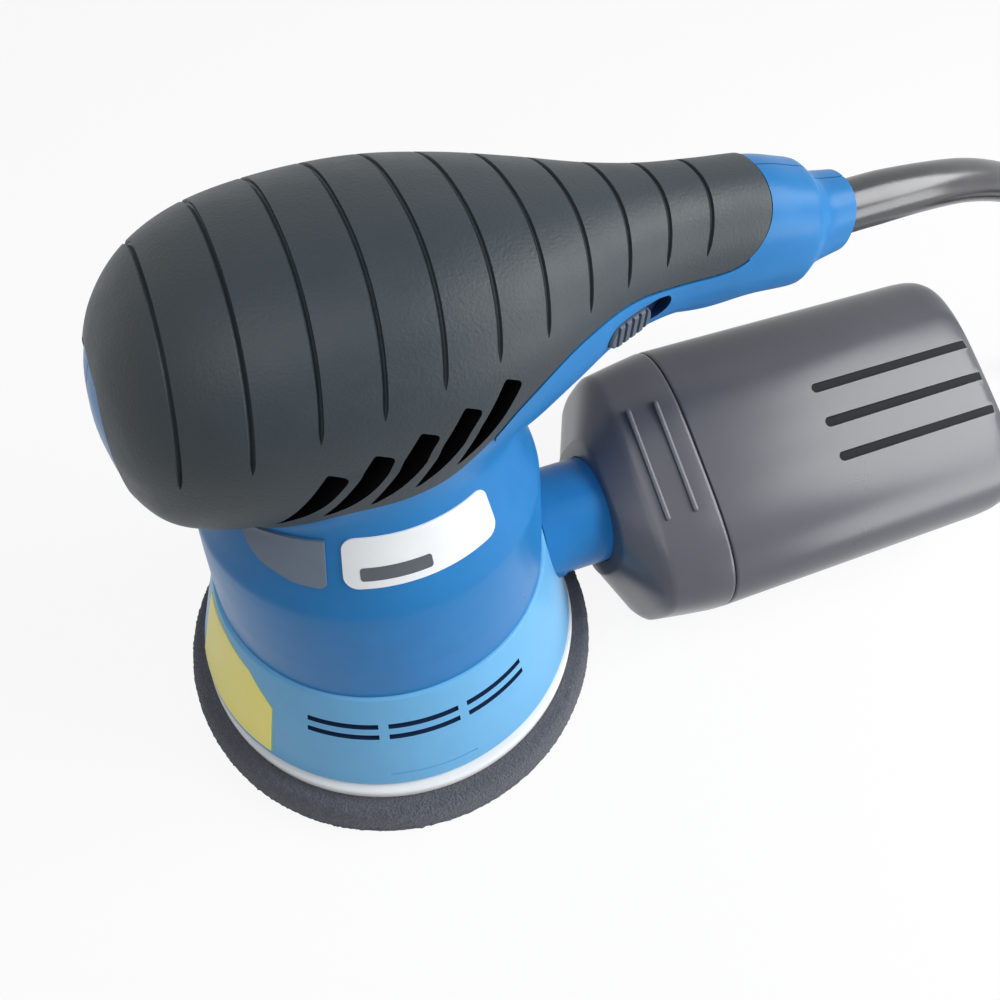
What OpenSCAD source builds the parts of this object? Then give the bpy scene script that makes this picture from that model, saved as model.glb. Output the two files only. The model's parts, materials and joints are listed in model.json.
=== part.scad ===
// Random orbit sander with a palm grip, a rear handle and a push-on dust box.
// Origin: motor axis at the underside of the pad. +X to the cord, +Z up, millimetres.

/* [Pad] */
// Diameter of the sanding pad
pad_d = 123; // [118:1:150]
// Thickness of the loop facing that takes the discs
facing_t = 2; // [1:0.5:3]
// Thickness of the foam
foam_t = 9; // [6:0.5:12]
// Diameter of the backing plate
plate_d = 111; // [104:1:116]
// Thickness of the backing plate
plate_t = 4; // [3:0.5:6]
// Offset of the pad axis from the motor axis
orbit = 2; // [1:0.25:2.5]
// Diameter of a dust hole
dust_hole_d = 10; // [6:0.5:11]
// Diameter of the circle of dust holes
dust_ring_d = 65; // [62:1:75]
// Number of dust holes
dust_holes = 8; // [6:1:8]

/* [Skirt] */
// Gap between the backing plate and the skirt
skirt_gap = 1; // [0.6:0.1:2]
// Outside diameter of the skirt at its lower edge
skirt_low_d = 111; // [108:1:118]
// Outside diameter of the skirt at its upper edge
skirt_high_d = 91; // [90:0.5:96]
// Height of the skirt
skirt_h = 34; // [33:0.5:38]
// Wall of the skirt and of its spout
skirt_wall = 2.4; // [1.8:0.1:3]
// Height of one exhaust slot
slot_h = 1.8; // [1:0.1:2.4]
// Outside diameter of the dust spout
spout_d = 33; // [28:0.5:34]
// How far the spout reaches from the motor axis
spout_reach = 80; // [78:0.5:82]
// Direction of the spout seen from above
spout_turn = -2.5; // [-6:0.5:6]

/* [Housing] */
// Outside diameter of the motor barrel at its foot
barrel_d = 89.2; // [88:0.2:90]
// Height of the motor barrel from the skirt to the grip
barrel_h = 68; // [66:0.5:72]
// Wall of the housing
wall = 2.4; // [2:0.1:3]
// Thickness of the rubber grip cover
rubber_t = 2.4; // [2:0.1:3]
// Depth of the grooves in the grip cover
groove_depth = 1.2; // [0.6:0.1:1.6]
// Width of the grooves in the grip cover
groove_w = 1.5; // [1:0.1:2.5]
// Distance between two grooves
groove_pitch = 11.4; // [9:0.1:11.6]

/* [Motor] */
// Diameter of the motor shaft
shaft_d = 10; // [9:0.5:10]
// Outside diameter of the stator
stator_d = 54; // [50:0.5:56]
// Length of the stator stack
stack_h = 34; // [30:1:36]
// Diameter of the armature
armature_d = 30; // [26:0.5:31]
// Diameter of the commutator
commutator_d = 20.8; // [18:0.2:22]
// Diameter of the fan
fan_d = 76; // [70:1:78]

/* [Dust box] */
// Width of the dust box
box_w = 82; // [76:1:86]
// Height of the dust box
box_t = 54; // [50:1:56]
// How far the box is turned on its round spout
box_roll = 24; // [0:1:24]
// Length of the front cap
cap_l = 22; // [21:0.5:26]
// Length of the container behind the seam
container_l = 104; // [90:1:112]
// Wall of the cap and of the container
box_wall = 2.2; // [1.8:0.1:2.8]

/* [Cord] */
// Diameter of the cord
cord_d = 7; // [6:0.5:7.5]
// Diameter of the cord boot where it leaves the handle
boot_d = 13; // [12:0.5:14]
// Mean diameter of the stored coil
coil_d = 80; // [76:1:84]
// Number of cord widths across the coil
coil_across = 3; // [2:1:4]
// Number of cord heights up the coil
coil_up = 2; // [2:0.5:3]
// Diameter of a plug pin
pin_d = 4.8; // [4:0.1:4.8]
// Distance between the plug pins
pin_pitch = 19; // [18:0.5:19]

/* [Hidden] */
$fn = 64;

// Clearances
slip = 0.05;
gap = 0.3;
seat = 0.1;
over = 1;

// Heights of the pad stack and of the motor stack
foam_z = facing_t;
plate_z = foam_z + foam_t;
plate_top = plate_z + plate_t;
skirt_z = plate_top + skirt_gap;
skirt_top = skirt_z + skirt_h;
plate_h = 5;
bearing_floor = 1;
main_bearing = [26, shaft_d, 8];
top_bearing = [19, 7, 6];
pad_bearing = [28, 12, 8];
bearing_z = skirt_top + bearing_floor;
stator_z = skirt_top + 18;
stator_top = stator_z + stack_h;
end_turn = 7;
brush_plate_z = stator_top + end_turn + 0.5;
brush_plate_t = 2;
holder_z = brush_plate_z + brush_plate_t;
holder_size = [8, 15.5, 10];
holder_wall = 1.1;
brush_mid = holder_z + holder_size[2] / 2;
commutator_h = 9;
top_bearing_z = holder_z + holder_size[2] + 5.5;
grip_z = skirt_top + barrel_h + 13;

// Radii of the skirt and of the barrel
skirt_low_r = skirt_low_d / 2;
skirt_high_r = skirt_high_d / 2;
barrel_r = barrel_d / 2;
neck_r = barrel_r - 11;
flange_r = 32;
flange_t = 2.5;
ledge_z = skirt_z + 4;
ledge_t = 2;
ledge_r = 45;
plate_screw_r = 37;
plate_screw_angles = [45, 135, 225, 315];
boss_r = 4.6;
spout_r = spout_d / 2;
spout_z = skirt_z + 19.5;

// Smooth curves through a few hand-placed stations
function spline_point(a, b, c, d, t) =
    0.5 * (2 * b + (c - a) * t + (2 * a - 5 * b + 4 * c - d) * t * t + (3 * b - a - 3 * c + d) * t * t * t);
function smooth(p, n) =
    let (last = len(p) - 1)
    concat([for (i = [0:last - 1])
        for (k = [0:n - 1])
            spline_point(p[max(i - 1, 0)], p[i], p[i + 1], p[min(i + 2, last)], k / n)], [p[last]]);

// A rounded oblong ring: exponent 2 is an ellipse and a larger one is squarer
function signed_power(v, e) = sign(v) * pow(abs(v), e);
function oblong(w, h, exponent, sides) =
    [for (i = [0:sides - 1])
        let (a = 360 * (i + 0.5) / sides)
        [w * signed_power(cos(a), 2 / exponent), h * signed_power(sin(a), 2 / exponent)]];
function ring_at(x, z, w, h, exponent, sides) = [for (p = oblong(w, h, exponent, sides)) [x, p[0], z + p[1]]];

// A closed solid through rings that have the same number of points
module loft(rings) {
    n = len(rings[0]);
    m = len(rings);
    side = [for (j = [0:m - 2])
        for (i = [0:n - 1])
            let (k = (i + 1) % n)
            each [[j * n + i, (j + 1) * n + i, (j + 1) * n + k], [j * n + i, (j + 1) * n + k, j * n + k]]];
    first = [for (i = [0:n - 1]) i];
    last = [for (i = [0:n - 1]) m * n - 1 - i];
    polyhedron([for (r = rings) each r], concat(side, [first, last]));
}

// A round tube swept along points, with one radius for each point
function unit(v) = v / norm(v);
function tangent(p, i) = unit(p[min(i + 1, len(p) - 1)] - p[max(i - 1, 0)]);
function side_of(t) = abs(t[2]) > 0.95 ? unit(cross(t, [0, 1, 0])) : unit(cross([0, 0, 1], t));
function hoop(p, i, r, sides) =
    let (t = tangent(p, i), u = side_of(t), v = cross(t, u))
    [for (k = [0:sides - 1]) p[i] + r * (u * cos(360 * k / sides) + v * sin(360 * k / sides))];
module sweep(points, radii, sides) {
    loft([for (i = [0:len(points) - 1]) hoop(points, i, radii[i], sides)]);
}

// Along the spout, and turned with the dust box on it
module at_spout() {
    rotate([0, 0, spout_turn]) translate([0, 0, spout_z]) children();
}
module on_spout() {
    at_spout() rotate([box_roll, 0, 0]) children();
}
// A cylinder along Y from y0 to y1 at x and z
module rod_y(x, z, r, y0, y1) {
    translate([x, y0, z]) rotate([-90, 0, 0]) cylinder(r = r, h = y1 - y0);
}
module rod_x(x0, x1, r) {
    translate([x0, 0, 0]) rotate([0, 90, 0]) cylinder(r = r, h = x1 - x0);
}
module pipe(r_out, r_in, z0, h) {
    translate([0, 0, z0]) difference() {
        cylinder(r = r_out, h = h);
        translate([0, 0, -over]) cylinder(r = r_in, h = h + 2 * over);
    }
}
module around(angles, r) {
    for (a = angles) rotate([0, 0, a]) translate([r, 0, 0]) children();
}
module sector(r_in, r_out, z0, h, from, angle) {
    rotate([0, 0, from]) translate([0, 0, z0]) rotate_extrude(angle = angle)
        translate([r_in, 0]) square([r_out - r_in, h]);
}

// Outer form of the grip and handle: x, height of the middle, half width and half height
grip_sides = 28;
cavity_sides = 20;
grip_exponent = 2.25;
grip_stations = [[-51.5, -8, 5, 6], [-49.5, -7.5, 13.5, 14], [-44.5, -5.5, 22, 21.3], [-36, -2.6, 28.3, 26],
    [-24, -0.6, 32.6, 28.6], [-8, 0, 34.5, 29.8], [10, 0, 34, 29.5], [27, 0, 30.5, 27], [42, 1, 24.5, 23],
    [56, 1.5, 18, 19.5], [69, 1, 14.5, 17.6], [82, 0, 13.4, 16.8], [96, -1.6, 13.4, 16.4],
    [108.5, -4.1, 12.8, 15.2], [112.5, -4.5, 10.4, 11.8], [115.5, -4.5, 9.6, 10.7], [121.5, -4.5, 8.8, 9.7]];
grip_steps = 2;
grip_curve = smooth(grip_stations, grip_steps);
tail_x = grip_stations[len(grip_stations) - 1][0];
tail_z = grip_z + grip_stations[len(grip_stations) - 1][1];

nose_from = -30;
nose_l = nose_from - grip_stations[0][0];
function drawn_in(x, inset) = x > nose_from ? x : nose_from + (x - nose_from) * (1 - inset / nose_l);
module grip_mass(inset, sides = grip_sides) {
    loft([for (s = grip_curve)
        ring_at(drawn_in(s[0], inset), grip_z + s[1], max(s[2] - inset, 0.5), max(s[3] - inset, 0.5),
            grip_exponent, sides)]);
}

// Outer form of the motor barrel: radius and height above the skirt
barrel_stations = [[barrel_r, 0], [barrel_r - 0.7, 12], [barrel_r - 1.7, 24], [barrel_r - 3.2, 35],
    [barrel_r - 6.4, 45], [barrel_r - 9.4, 54], [neck_r, 62], [neck_r - 0.4, barrel_h + 8]];
barrel_sides = 48;
module barrel_mass(inset, foot = 0) {
    outline = [for (s = smooth(barrel_stations, 2)) [s[0] - inset, skirt_top + s[1]]];
    top = skirt_top + barrel_h + 8;
    rotate([0, 0, 180 / barrel_sides]) rotate_extrude($fn = barrel_sides)
        polygon(concat([[0, skirt_top - foot], [barrel_r - inset, skirt_top - foot]], outline, [[0, top]]));
}
module body_mass(inset) {
    grip_mass(inset);
    barrel_mass(inset);
}

// Hump under the tail that the hand rests against
hump_x = 85;
hump_drop = 13.6;
hump_r = 9;
module hump() {
    translate([hump_x, 0, grip_z - hump_drop]) scale([1.3, 0.85, 0.55]) sphere(r = hump_r, $fn = 20);
}

// Side view of the area that the rubber covers, grown by a margin
edge_stations = [[-62, -34], [-40, -31], [-30, -27], [-21, -19.5], [-12, -15], [0, -14], [9, -12.5],
    [17, -7.5], [24, -1], [34, 3.8], [45, 5.4], [57, 4], [69, 1.4], [80, 0], [86, 0.8], [90, 4.5],
    [92.8, 10.5], [93.6, 19], [93, 34]];
module cover_area(margin) {
    outline = [for (s = smooth(edge_stations, 2)) [s[0], grip_z + s[1]]];
    translate([0, 60, 0]) rotate([90, 0, 0]) linear_extrude(120)
        offset(delta = margin) polygon(concat(outline, [[-62, grip_z + 40]]));
}

// Slanted air vents along the lower edge of the rubber
vent_count = 5;
vent_pitch = 9;
vent_rise = 1.9;
vent_w = 5;
vent_l = 26;
vent_lean = 57;
vent_top = [-13, -0.5];
module vents(grow, reach) {
    intersection() {
        for (i = [0:vent_count - 1])
            translate([vent_top[0] + i * vent_pitch, 45, grip_z + vent_top[1] + i * vent_rise])
                rotate([90, 0, 0]) linear_extrude(90) rotate(vent_lean)
                    translate([-vent_l, -vent_w / 2 - grow]) square([vent_l + grow, vent_w + 2 * grow]);
        cover_area(reach);
    }
}

// Grooves across the grip, square to the falling line of the handle
groove_count = 11;
groove_first = -34;
groove_lean = 13;
groove_ends = [[-62, -6], [-40, -0.5], [-16, 7], [20, 11.4], [50, 8.7], [75, 6], [100, 4]];
module grooves() {
    outline = [for (s = smooth(groove_ends, 2)) [s[0], grip_z + s[1]]];
    intersection() {
        for (i = [0:groove_count - 1])
            translate([groove_first + i * groove_pitch, 0, grip_z + 24]) rotate([0, groove_lean, 0])
                cube([groove_w, 120, 130], center = true);
        translate([0, 60, 0]) rotate([90, 0, 0]) linear_extrude(120)
            polygon(concat(outline, [[100, grip_z + 40], [-62, grip_z + 40]]));
        grip_mass(-over);
    }
}

// Window in the front of the rubber that shows the nose of the housing
nose_z = grip_z - 6;
nose_w = 15;
nose_stretch = 1.35;
nose_back = -48;
module nose_window(grow) {
    translate([nose_back - 22, 0, nose_z]) rotate([0, 90, 0]) scale([nose_stretch, 1, 1])
        cylinder(r = nose_w + grow, h = 22, $fn = 40);
}

// Screws that join the two halves of the housing: x and z
seat_y = 6.5;
joint_screws = [[-34.5, skirt_top + 25], [34.5, skirt_top + 25], [34, grip_z - 22], [75, grip_z - 9],
    [-36, grip_z + 8]];
screw_r = 1.7;
head_r = 3.4;

// Slide switch on the left side of the handle
switch_at = [56, -17.4, grip_z - 3.5];
switch_turn = 20;
switch_travel = 6;
knob_size = [13, 6];
recess_l = knob_size[0] + switch_travel + 2 * gap;
recess_depth = 2.6;
stem_w = 4;
switch_box = [20, 11, 10];
switch_box_y = 4.8;
switch_box_rise = 3.2;
module at_switch() {
    translate(switch_at) rotate([0, 0, switch_turn]) children();
}
module capsule_y(l, h, y0, y1) {
    for (x = [h / 2, l - h / 2]) rod_y(x, 0, h / 2, y0, y1);
    translate([h / 2, y0, -h / 2]) cube([l - h, y1 - y0, h]);
}
module switch_cut() {
    at_switch() translate([-knob_size[0] / 2 - gap, 0, 0]) {
        capsule_y(recess_l, knob_size[1] + 2 * gap, -10, recess_depth - 0.6);
        translate([3, -1, 0]) capsule_y(recess_l - 6, stem_w + 2 * gap, 0, 10);
    }
}

// Cord clamp and lead inside the tail
clamp_x = 94;
clamp_l = 6;
boot_neck_r = boot_d / 2;
boot_flange_r = boot_neck_r + 1.6;
boot_flange_x = 105;
boot_flange_t = 3;
clamp_screw_y = 5.2;
clamp_screw_r = 1.1;
clamp_edge = 2.2;

// One half of the housing: side is -1 on the left and 1 on the right
big = 200;
module half_space(side) {
    translate([-big / 2, side > 0 ? 0 : -big, -over]) cube([2 * big, big, 2 * big]);
}
module housing_cavity() {
    grip_mass(rubber_t + wall, cavity_sides);
    intersection() {
        barrel_mass(wall, over);
        translate([-big / 2, -big / 2, 0]) cube([big, big, skirt_top + 44]);
    }
    barrel_mass(wall + rubber_t);
}
module housing_ribs() {
    intersection() {
        union() {
            for (a = plate_screw_angles) rotate([0, 0, a]) {
                translate([plate_screw_r, 0, skirt_top + plate_h]) cylinder(r = boss_r, h = 12, $fn = 14);
                translate([stator_d / 2 + seat, -1.5, stator_z]) cube([30, 3, stack_h]);
            }
            for (s = joint_screws) rod_y(s[0], s[1], boss_r, -40, 40, $fn = 14);
            translate([-40, -40, top_bearing_z]) cube([66, 80, top_bearing[2]]);
            translate([clamp_x - over, -20, tail_z - 20])
                cube([clamp_l + 2 * over, 40, 20 - cord_d / 2 - seat]);
            translate([boot_flange_x - 2.5, -20, tail_z - 20]) cube([2, 40, 40]);
        }
        union() {
            grip_mass(rubber_t + wall / 2, cavity_sides);
            barrel_mass(wall / 2);
        }
    }
}
module housing_holes() {
    for (a = plate_screw_angles) rotate([0, 0, a])
        translate([plate_screw_r, 0, skirt_top]) cylinder(r = 2.1, h = 18, $fn = 12);
    for (s = joint_screws) {
        rod_y(s[0], s[1], screw_r + seat, -8.5, seat_y + over, $fn = 12);
        rod_y(s[0], s[1], head_r + gap, seat_y, 60, $fn = 16);
    }
    translate([0, 0, top_bearing_z - over])
        cylinder(r = sleeve_r + seat, h = top_bearing[2] + 2 * over, $fn = 32);
    translate([0, 0, tail_z]) {
        rod_x(boot_flange_x - over, tail_x + over, boot_neck_r + seat, $fn = 24);
        rod_x(boot_flange_x - 4, boot_flange_x, cord_d / 2 + 1, $fn = 16);
        rod_x(boot_flange_x - seat, boot_flange_x + boot_flange_t + seat, boot_flange_r + 2 * seat, $fn = 24);
    }
    at_clamp_screws() translate([0, 0, tail_z - 14])
        cylinder(r = clamp_screw_r + seat, h = 14, $fn = 10);
}
sleeve_r = top_bearing[0] / 2 + 1.4;

module housing_half(side) {
    resize([0, 0, 0]) intersection() {
        half_space(side);
        difference() {
            union() {
                difference() {
                    union() {
                        body_mass(0);
                        hump();
                    }
                    difference() {
                        cover_area(seat);
                        body_mass(rubber_t + seat);
                    }
                    housing_cavity();
                }
                difference() {
                    intersection() {
                        body_mass(0);
                        nose_window(0);
                    }
                    grip_mass(rubber_t + wall);
                }
                housing_ribs();
            }
            housing_holes();
            vents(-0.4, -0.4);
            if (side < 0) switch_cut();
        }
    }
}
module left_housing() {
    color("royalblue") housing_half(-1);
}
module right_housing() {
    color("royalblue") housing_half(1);
}
module housing_screws() {
    color("silver") for (s = joint_screws) {
        rod_y(s[0], s[1], screw_r, -8, seat_y);
        difference() {
            rod_y(s[0], s[1], head_r, seat_y, seat_y + 2.4);
            translate([s[0] - 2.4, seat_y + 1.2, s[1] - 0.4]) cube([4.8, 2, 0.8]);
            translate([s[0] - 0.4, seat_y + 1.2, s[1] - 2.4]) cube([0.8, 2, 4.8]);
        }
    }
}

module grip_cover() {
    color("dimgray") resize([0, 0, 0]) difference() {
        intersection() {
            body_mass(0);
            cover_area(0);
        }
        body_mass(rubber_t);
        difference() {
            grooves();
            grip_mass(groove_depth);
        }
        vents(0, over);
        nose_window(seat);
        for (s = joint_screws) rod_y(s[0], s[1], head_r + gap + seat, 0, 60, $fn = 16);
    }
}

// A thin patch on the barrel or on the skirt, between two heights and two angles
module barrel_patch(z0, z1, from, angle, t) {
    intersection() {
        sector(20, 70, z0, z1 - z0, from, angle);
        difference() {
            barrel_mass(-t - seat);
            barrel_mass(-seat);
        }
    }
}
thumb_pad_z = [grip_z - 38, grip_z - 27];
thumb_pad_from = 208;
thumb_pad_span = 31;
module thumb_pads() {
    color("slategray") for (side = [0, 1]) mirror([0, side, 0])
        barrel_patch(thumb_pad_z[0], thumb_pad_z[1], thumb_pad_from, thumb_pad_span, 0.6);
}
plate_mark_z = [grip_z - 37.5, grip_z - 24.5];
plate_mark_from = 244.5;
plate_mark_span = 56;
module rating_plate() {
    color("white") barrel_patch(plate_mark_z[0], plate_mark_z[1], plate_mark_from, plate_mark_span, 0.3);
}
function skirt_r(z) = skirt_low_r + (skirt_high_r - skirt_low_r) * (z - skirt_z) / skirt_h;
sticker_t = 0.3;
sticker_low = 2;
sticker_high = 4;
sticker_from = 172;
sticker_span = 43;
module side_sticker() {
    z0 = skirt_z + sticker_low;
    z1 = skirt_top - sticker_high;
    color("khaki") rotate([0, 0, sticker_from]) rotate_extrude(angle = sticker_span)
        polygon([[skirt_r(z0) + seat, z0], [skirt_r(z0) + seat + sticker_t, z0],
            [skirt_r(z1) + seat + sticker_t, z1], [skirt_r(z1) + seat, z1]]);
}

// Skirt with its exhaust slots and its dust spout
slot_rows = [19, 23];
slot_angle = 22;
slot_pitch = 25;
slots_each_side = 3;
slots_middle = 97;
spout_from = barrel_r + 2 * gap;
function skirt_inner(z) = skirt_r(z) - skirt_wall;
module skirt_hollow() {
    ledge_top = ledge_z + ledge_t;
    ceiling = skirt_top - flange_t;
    rotate_extrude() polygon([[flange_r - over, skirt_z - over], [skirt_inner(skirt_z), skirt_z - over],
        [skirt_inner(ledge_z), ledge_z], [ledge_r, ledge_z], [ledge_r, ledge_top],
        [skirt_inner(ledge_top), ledge_top], [skirt_inner(ceiling), ceiling], [flange_r - over, ceiling]]);
}
module skirt() {
    color("steelblue") difference() {
        union() {
            rotate_extrude() polygon([[flange_r, skirt_z], [skirt_low_r, skirt_z], [skirt_high_r, skirt_top],
                [flange_r, skirt_top]]);
            at_spout() rod_x(spout_from, spout_reach, spout_r);
        }
        skirt_hollow();
        at_spout() rod_x(spout_from - over, spout_reach + over, spout_r - skirt_wall);
        at_spout() spout_groove();
        for (side = [-1, 1])
            for (k = [0:slots_each_side - 1])
                for (z = slot_rows)
                    sector(barrel_r - 10, skirt_low_r + 5, skirt_z + z, slot_h,
                        side * (slots_middle + (k - 1) * slot_pitch) - slot_angle / 2, slot_angle);
        around(plate_screw_angles, plate_screw_r) translate([0, 0, skirt_top - 10]) cylinder(r = 2.1, h = 20);
    }
}
// Groove of the sealing ring near the end of the spout
seal_x = spout_reach - 5;
seal_r = 0.8;
seal_floor_r = spout_r - 1.5;
module spout_groove() {
    difference() {
        rod_x(seal_x - seal_r - slip, seal_x + seal_r + slip, spout_r + over);
        rod_x(seal_x - 2 * seal_r, seal_x + 2 * seal_r, seal_floor_r);
    }
}
module spout_seal() {
    color("black") at_spout() translate([seal_x, 0, 0]) rotate([0, 90, 0]) rotate_extrude()
        translate([seal_floor_r + slip + seal_r, 0]) circle(r = seal_r);
}
module skirt_screws() {
    color("silver") around(plate_screw_angles, plate_screw_r) {
        translate([0, 0, skirt_top - flange_t - 2.2]) cylinder(r = 3.5, h = 2.2);
        translate([0, 0, skirt_top - flange_t]) cylinder(r = 1.9, h = 18);
    }
}
module brake_ring() {
    outer = skirt_r(ledge_z) - skirt_wall - gap;
    color("black") pipe(outer, ledge_r, plate_top + gap, ledge_z - plate_top - gap);
}

// Motor
module bearing(size, z) {
    r = size[0] / 2;
    b = size[1] / 2;
    ring = (r - b) * 0.28;
    dish = 0.5;
    translate([0, 0, z]) rotate_extrude() polygon([[b, 0], [b + ring, 0], [b + ring, dish], [r - ring, dish],
        [r - ring, 0], [r, 0], [r, size[2]], [r - ring, size[2]], [r - ring, size[2] - dish],
        [b + ring, size[2] - dish], [b + ring, size[2]], [b, size[2]]]);
}
module motor_plate() {
    pocket_r = main_bearing[0] / 2 + slip;
    color("lightgray") difference() {
        union() {
            translate([0, 0, skirt_top]) cylinder(r = barrel_r - wall - 2 * gap, h = plate_h);
            translate([0, 0, skirt_top]) cylinder(r = pocket_r + 3, h = bearing_floor + main_bearing[2]);
        }
        translate([0, 0, bearing_z]) cylinder(r = pocket_r, h = 20);
        translate([0, 0, skirt_top - over]) cylinder(r = pocket_r - 3, h = 20);
        around([0:60:300], 26.5) translate([0, 0, skirt_top - over]) cylinder(r = 6, h = 20);
        around(plate_screw_angles, plate_screw_r)
            translate([0, 0, skirt_top - over]) cylinder(r = 2.1, h = 20);
    }
}
module lower_bearing() {
    color("silver") bearing(main_bearing, bearing_z);
}
pole_angle = 50;
leg_angle = 14;
coil_r = [armature_d / 2 + 2.6, stator_d / 2 - 3.2];
module stator_core() {
    color("gray") difference() {
        pipe(stator_d / 2, armature_d / 2 + 0.5, stator_z, stack_h);
        for (a = [0, 180], s = [-1, 1])
            sector(coil_r[0] - 0.2, coil_r[1] + 0.2, stator_z - over, stack_h + 2 * over,
                a + s * pole_angle - leg_angle / 2 - 1, leg_angle + 2);
    }
}
module field_coils() {
    color("peru") for (a = [0, 180]) {
        for (s = [-1, 1])
            sector(coil_r[0], coil_r[1], stator_z - end_turn, stack_h + 2 * end_turn,
                a + s * pole_angle - leg_angle / 2, leg_angle);
        for (z = [stator_z - end_turn + gap, stator_top + gap])
            sector(coil_r[0] + gap, coil_r[1] - gap, z, end_turn - 2 * gap, a - pole_angle, 2 * pole_angle);
    }
}
module brush_plate() {
    outer = neck_r - rubber_t - wall - seat;
    color("saddlebrown") pipe(outer, commutator_d / 2 + 3, brush_plate_z, brush_plate_t);
}
holder_y = commutator_d / 2 + 1.2;
brush_size = [holder_size[0] - 2 * holder_wall - 0.2, 9, holder_size[2] - 2 * holder_wall - 0.2];
brush_y = commutator_d / 2 + gap;
module both_brushes() {
    for (a = [0, 180]) rotate([0, 0, a]) children();
}
module brush_holders() {
    slot = holder_size - [2 * holder_wall, 0, 2 * holder_wall];
    color("goldenrod") both_brushes() difference() {
        translate([-holder_size[0] / 2, holder_y, holder_z]) cube(holder_size);
        translate([-holder_size[0] / 2 + holder_wall, holder_y - over, holder_z + holder_wall])
            cube(slot);
    }
}
module carbon_brushes() {
    color("darkslategray") both_brushes()
        translate([-brush_size[0] / 2, brush_y, brush_mid - brush_size[2] / 2]) cube(brush_size);
}
spring_turns = 4;
spring_steps = 9;
module brush_springs() {
    y0 = brush_y + brush_size[1] + 0.7;
    y1 = holder_y + holder_size[1] - 1 - 0.7;
    n = spring_turns * spring_steps;
    path = [for (i = [0:n]) let (a = 360 * i / spring_steps)
        [1.8 * cos(a), y0 + (y1 - y0) * i / n, brush_mid + 1.8 * sin(a)]];
    color("silver") both_brushes() sweep(path, [for (i = [0:n]) 0.4], 5);
}
module upper_bearing() {
    color("silver") bearing(top_bearing, top_bearing_z);
}
module bearing_sleeve() {
    color("black") pipe(sleeve_r, top_bearing[0] / 2 + slip, top_bearing_z, top_bearing[2]);
}

// Electrical parts in the handle
module switch_body() {
    color("black") at_switch()
        translate([-switch_box[0] / 2, switch_box_y, -switch_box[2] / 2 + switch_box_rise]) cube(switch_box);
}
capacitor_size = [13, 10, 8];
capacitor_at = [70, -capacitor_size[1] / 2, grip_z - 0.5];
module capacitor() {
    color("gold") translate(capacitor_at) cube(capacitor_size);
}
wire_r = 1;
module inner_wires() {
    start = clamp_x - lead_l - wire_r - gap;
    cap_end = capacitor_at[0] + capacitor_size[0] + gap;
    to_switch = [[start, 1.5, tail_z], [84, 3, grip_z - 3.5], [76, 4, grip_z - 2.7], [69, 0, grip_z - 1.7],
        [63.2, -3.9, grip_z - 1]];
    to_cap = [[start, -1.5, tail_z], [88, -1.5, grip_z - 1], [86.5, -1.5, grip_z + 2],
        [cap_end, -1.5, grip_z + 3.5]];
    to_brush = [[41.7, -11.7, grip_z - 1], [38, -9, grip_z - 4], [31, 0, grip_z - 9],
        [20, 12, brush_mid + 1.5], [holder_size[0] / 2 + wire_r + gap, 19, brush_mid]];
    color("firebrick") for (route = [to_switch, to_cap, to_brush]) {
        p = smooth(route, 2);
        sweep(p, [for (q = p) wire_r], 6);
    }
}
lead_l = 3.5;
module lead_in() {
    color("black") translate([0, 0, tail_z]) rod_x(clamp_x - lead_l, boot_flange_x, cord_d / 2);
}
clamp_t = 2.6;
module cord_clamp() {
    half_w = clamp_screw_y + clamp_edge;
    color("black") difference() {
        translate([clamp_x, -half_w, tail_z + seat]) cube([clamp_l, 2 * half_w, cord_d / 2 + clamp_t]);
        translate([0, 0, tail_z]) rod_x(clamp_x - over, clamp_x + clamp_l + over, cord_d / 2 + slip);
        at_clamp_screws() translate([0, 0, tail_z - over]) cylinder(r = clamp_screw_r + seat, h = 20);
    }
}
module at_clamp_screws() {
    for (y = [-clamp_screw_y, clamp_screw_y]) translate([clamp_x + clamp_l / 2, y, 0]) children();
}
module clamp_screws() {
    top = tail_z + seat + cord_d / 2 + clamp_t;
    color("silver") at_clamp_screws() {
        translate([0, 0, top]) cylinder(r = 1.9, h = 1.6);
        translate([0, 0, top - 16]) cylinder(r = clamp_screw_r, h = 16);
    }
}

// Rotor
hub_r = 20;
hub_z = plate_top + 5.5;
pad_bearing_z = plate_top + 6;
relief_h = 5.2;
web_z = pad_bearing_z + pad_bearing[2] + relief_h;
web_t = 2;
collar_z = web_z + web_t;
hub_collar_r = 9;
module armature_shaft() {
    top = top_bearing_z + top_bearing[2] + 1;
    step_z = holder_z + holder_size[2] + 1;
    color("silver") difference() {
        union() {
            translate([0, 0, collar_z]) cylinder(d = shaft_d - 2 * slip, h = step_z - collar_z);
            translate([0, 0, step_z]) cylinder(d = top_bearing[1] - 2 * slip, h = top - step_z);
        }
        translate([0, 0, collar_z - over]) cylinder(r = 2.55, h = 12);
    }
}
core_slots = 12;
module armature_core() {
    color("gray") difference() {
        pipe(armature_d / 2, shaft_d / 2 + slip, stator_z, stack_h);
        around([for (i = [0:core_slots - 1]) i * 360 / core_slots], armature_d / 2)
            translate([-3.5, -0.7, stator_z - over]) cube([5, 1.4, stack_h + 2 * over]);
    }
}
module armature_windings() {
    r = armature_d / 2;
    bore = shaft_d / 2 + 0.5;
    color("peru") for (z = [stator_z - 6, stator_top]) translate([0, 0, z]) rotate_extrude()
        polygon([[bore, 0], [r - 3.5, 0], [r - 1.5, 2], [r - 1.5, 4], [r - 3.5, 6], [bore, 6]]);
}
module commutator() {
    color("chocolate") difference() {
        pipe(commutator_d / 2, shaft_d / 2 + slip, brush_mid - commutator_h / 2, commutator_h);
        around([0:20:340], commutator_d / 2)
            translate([-0.8, -0.25, brush_mid - commutator_h / 2 - over])
                cube([3, 0.5, commutator_h + 2 * over]);
    }
}
fan_disc_z = collar_z + 4;
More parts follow.
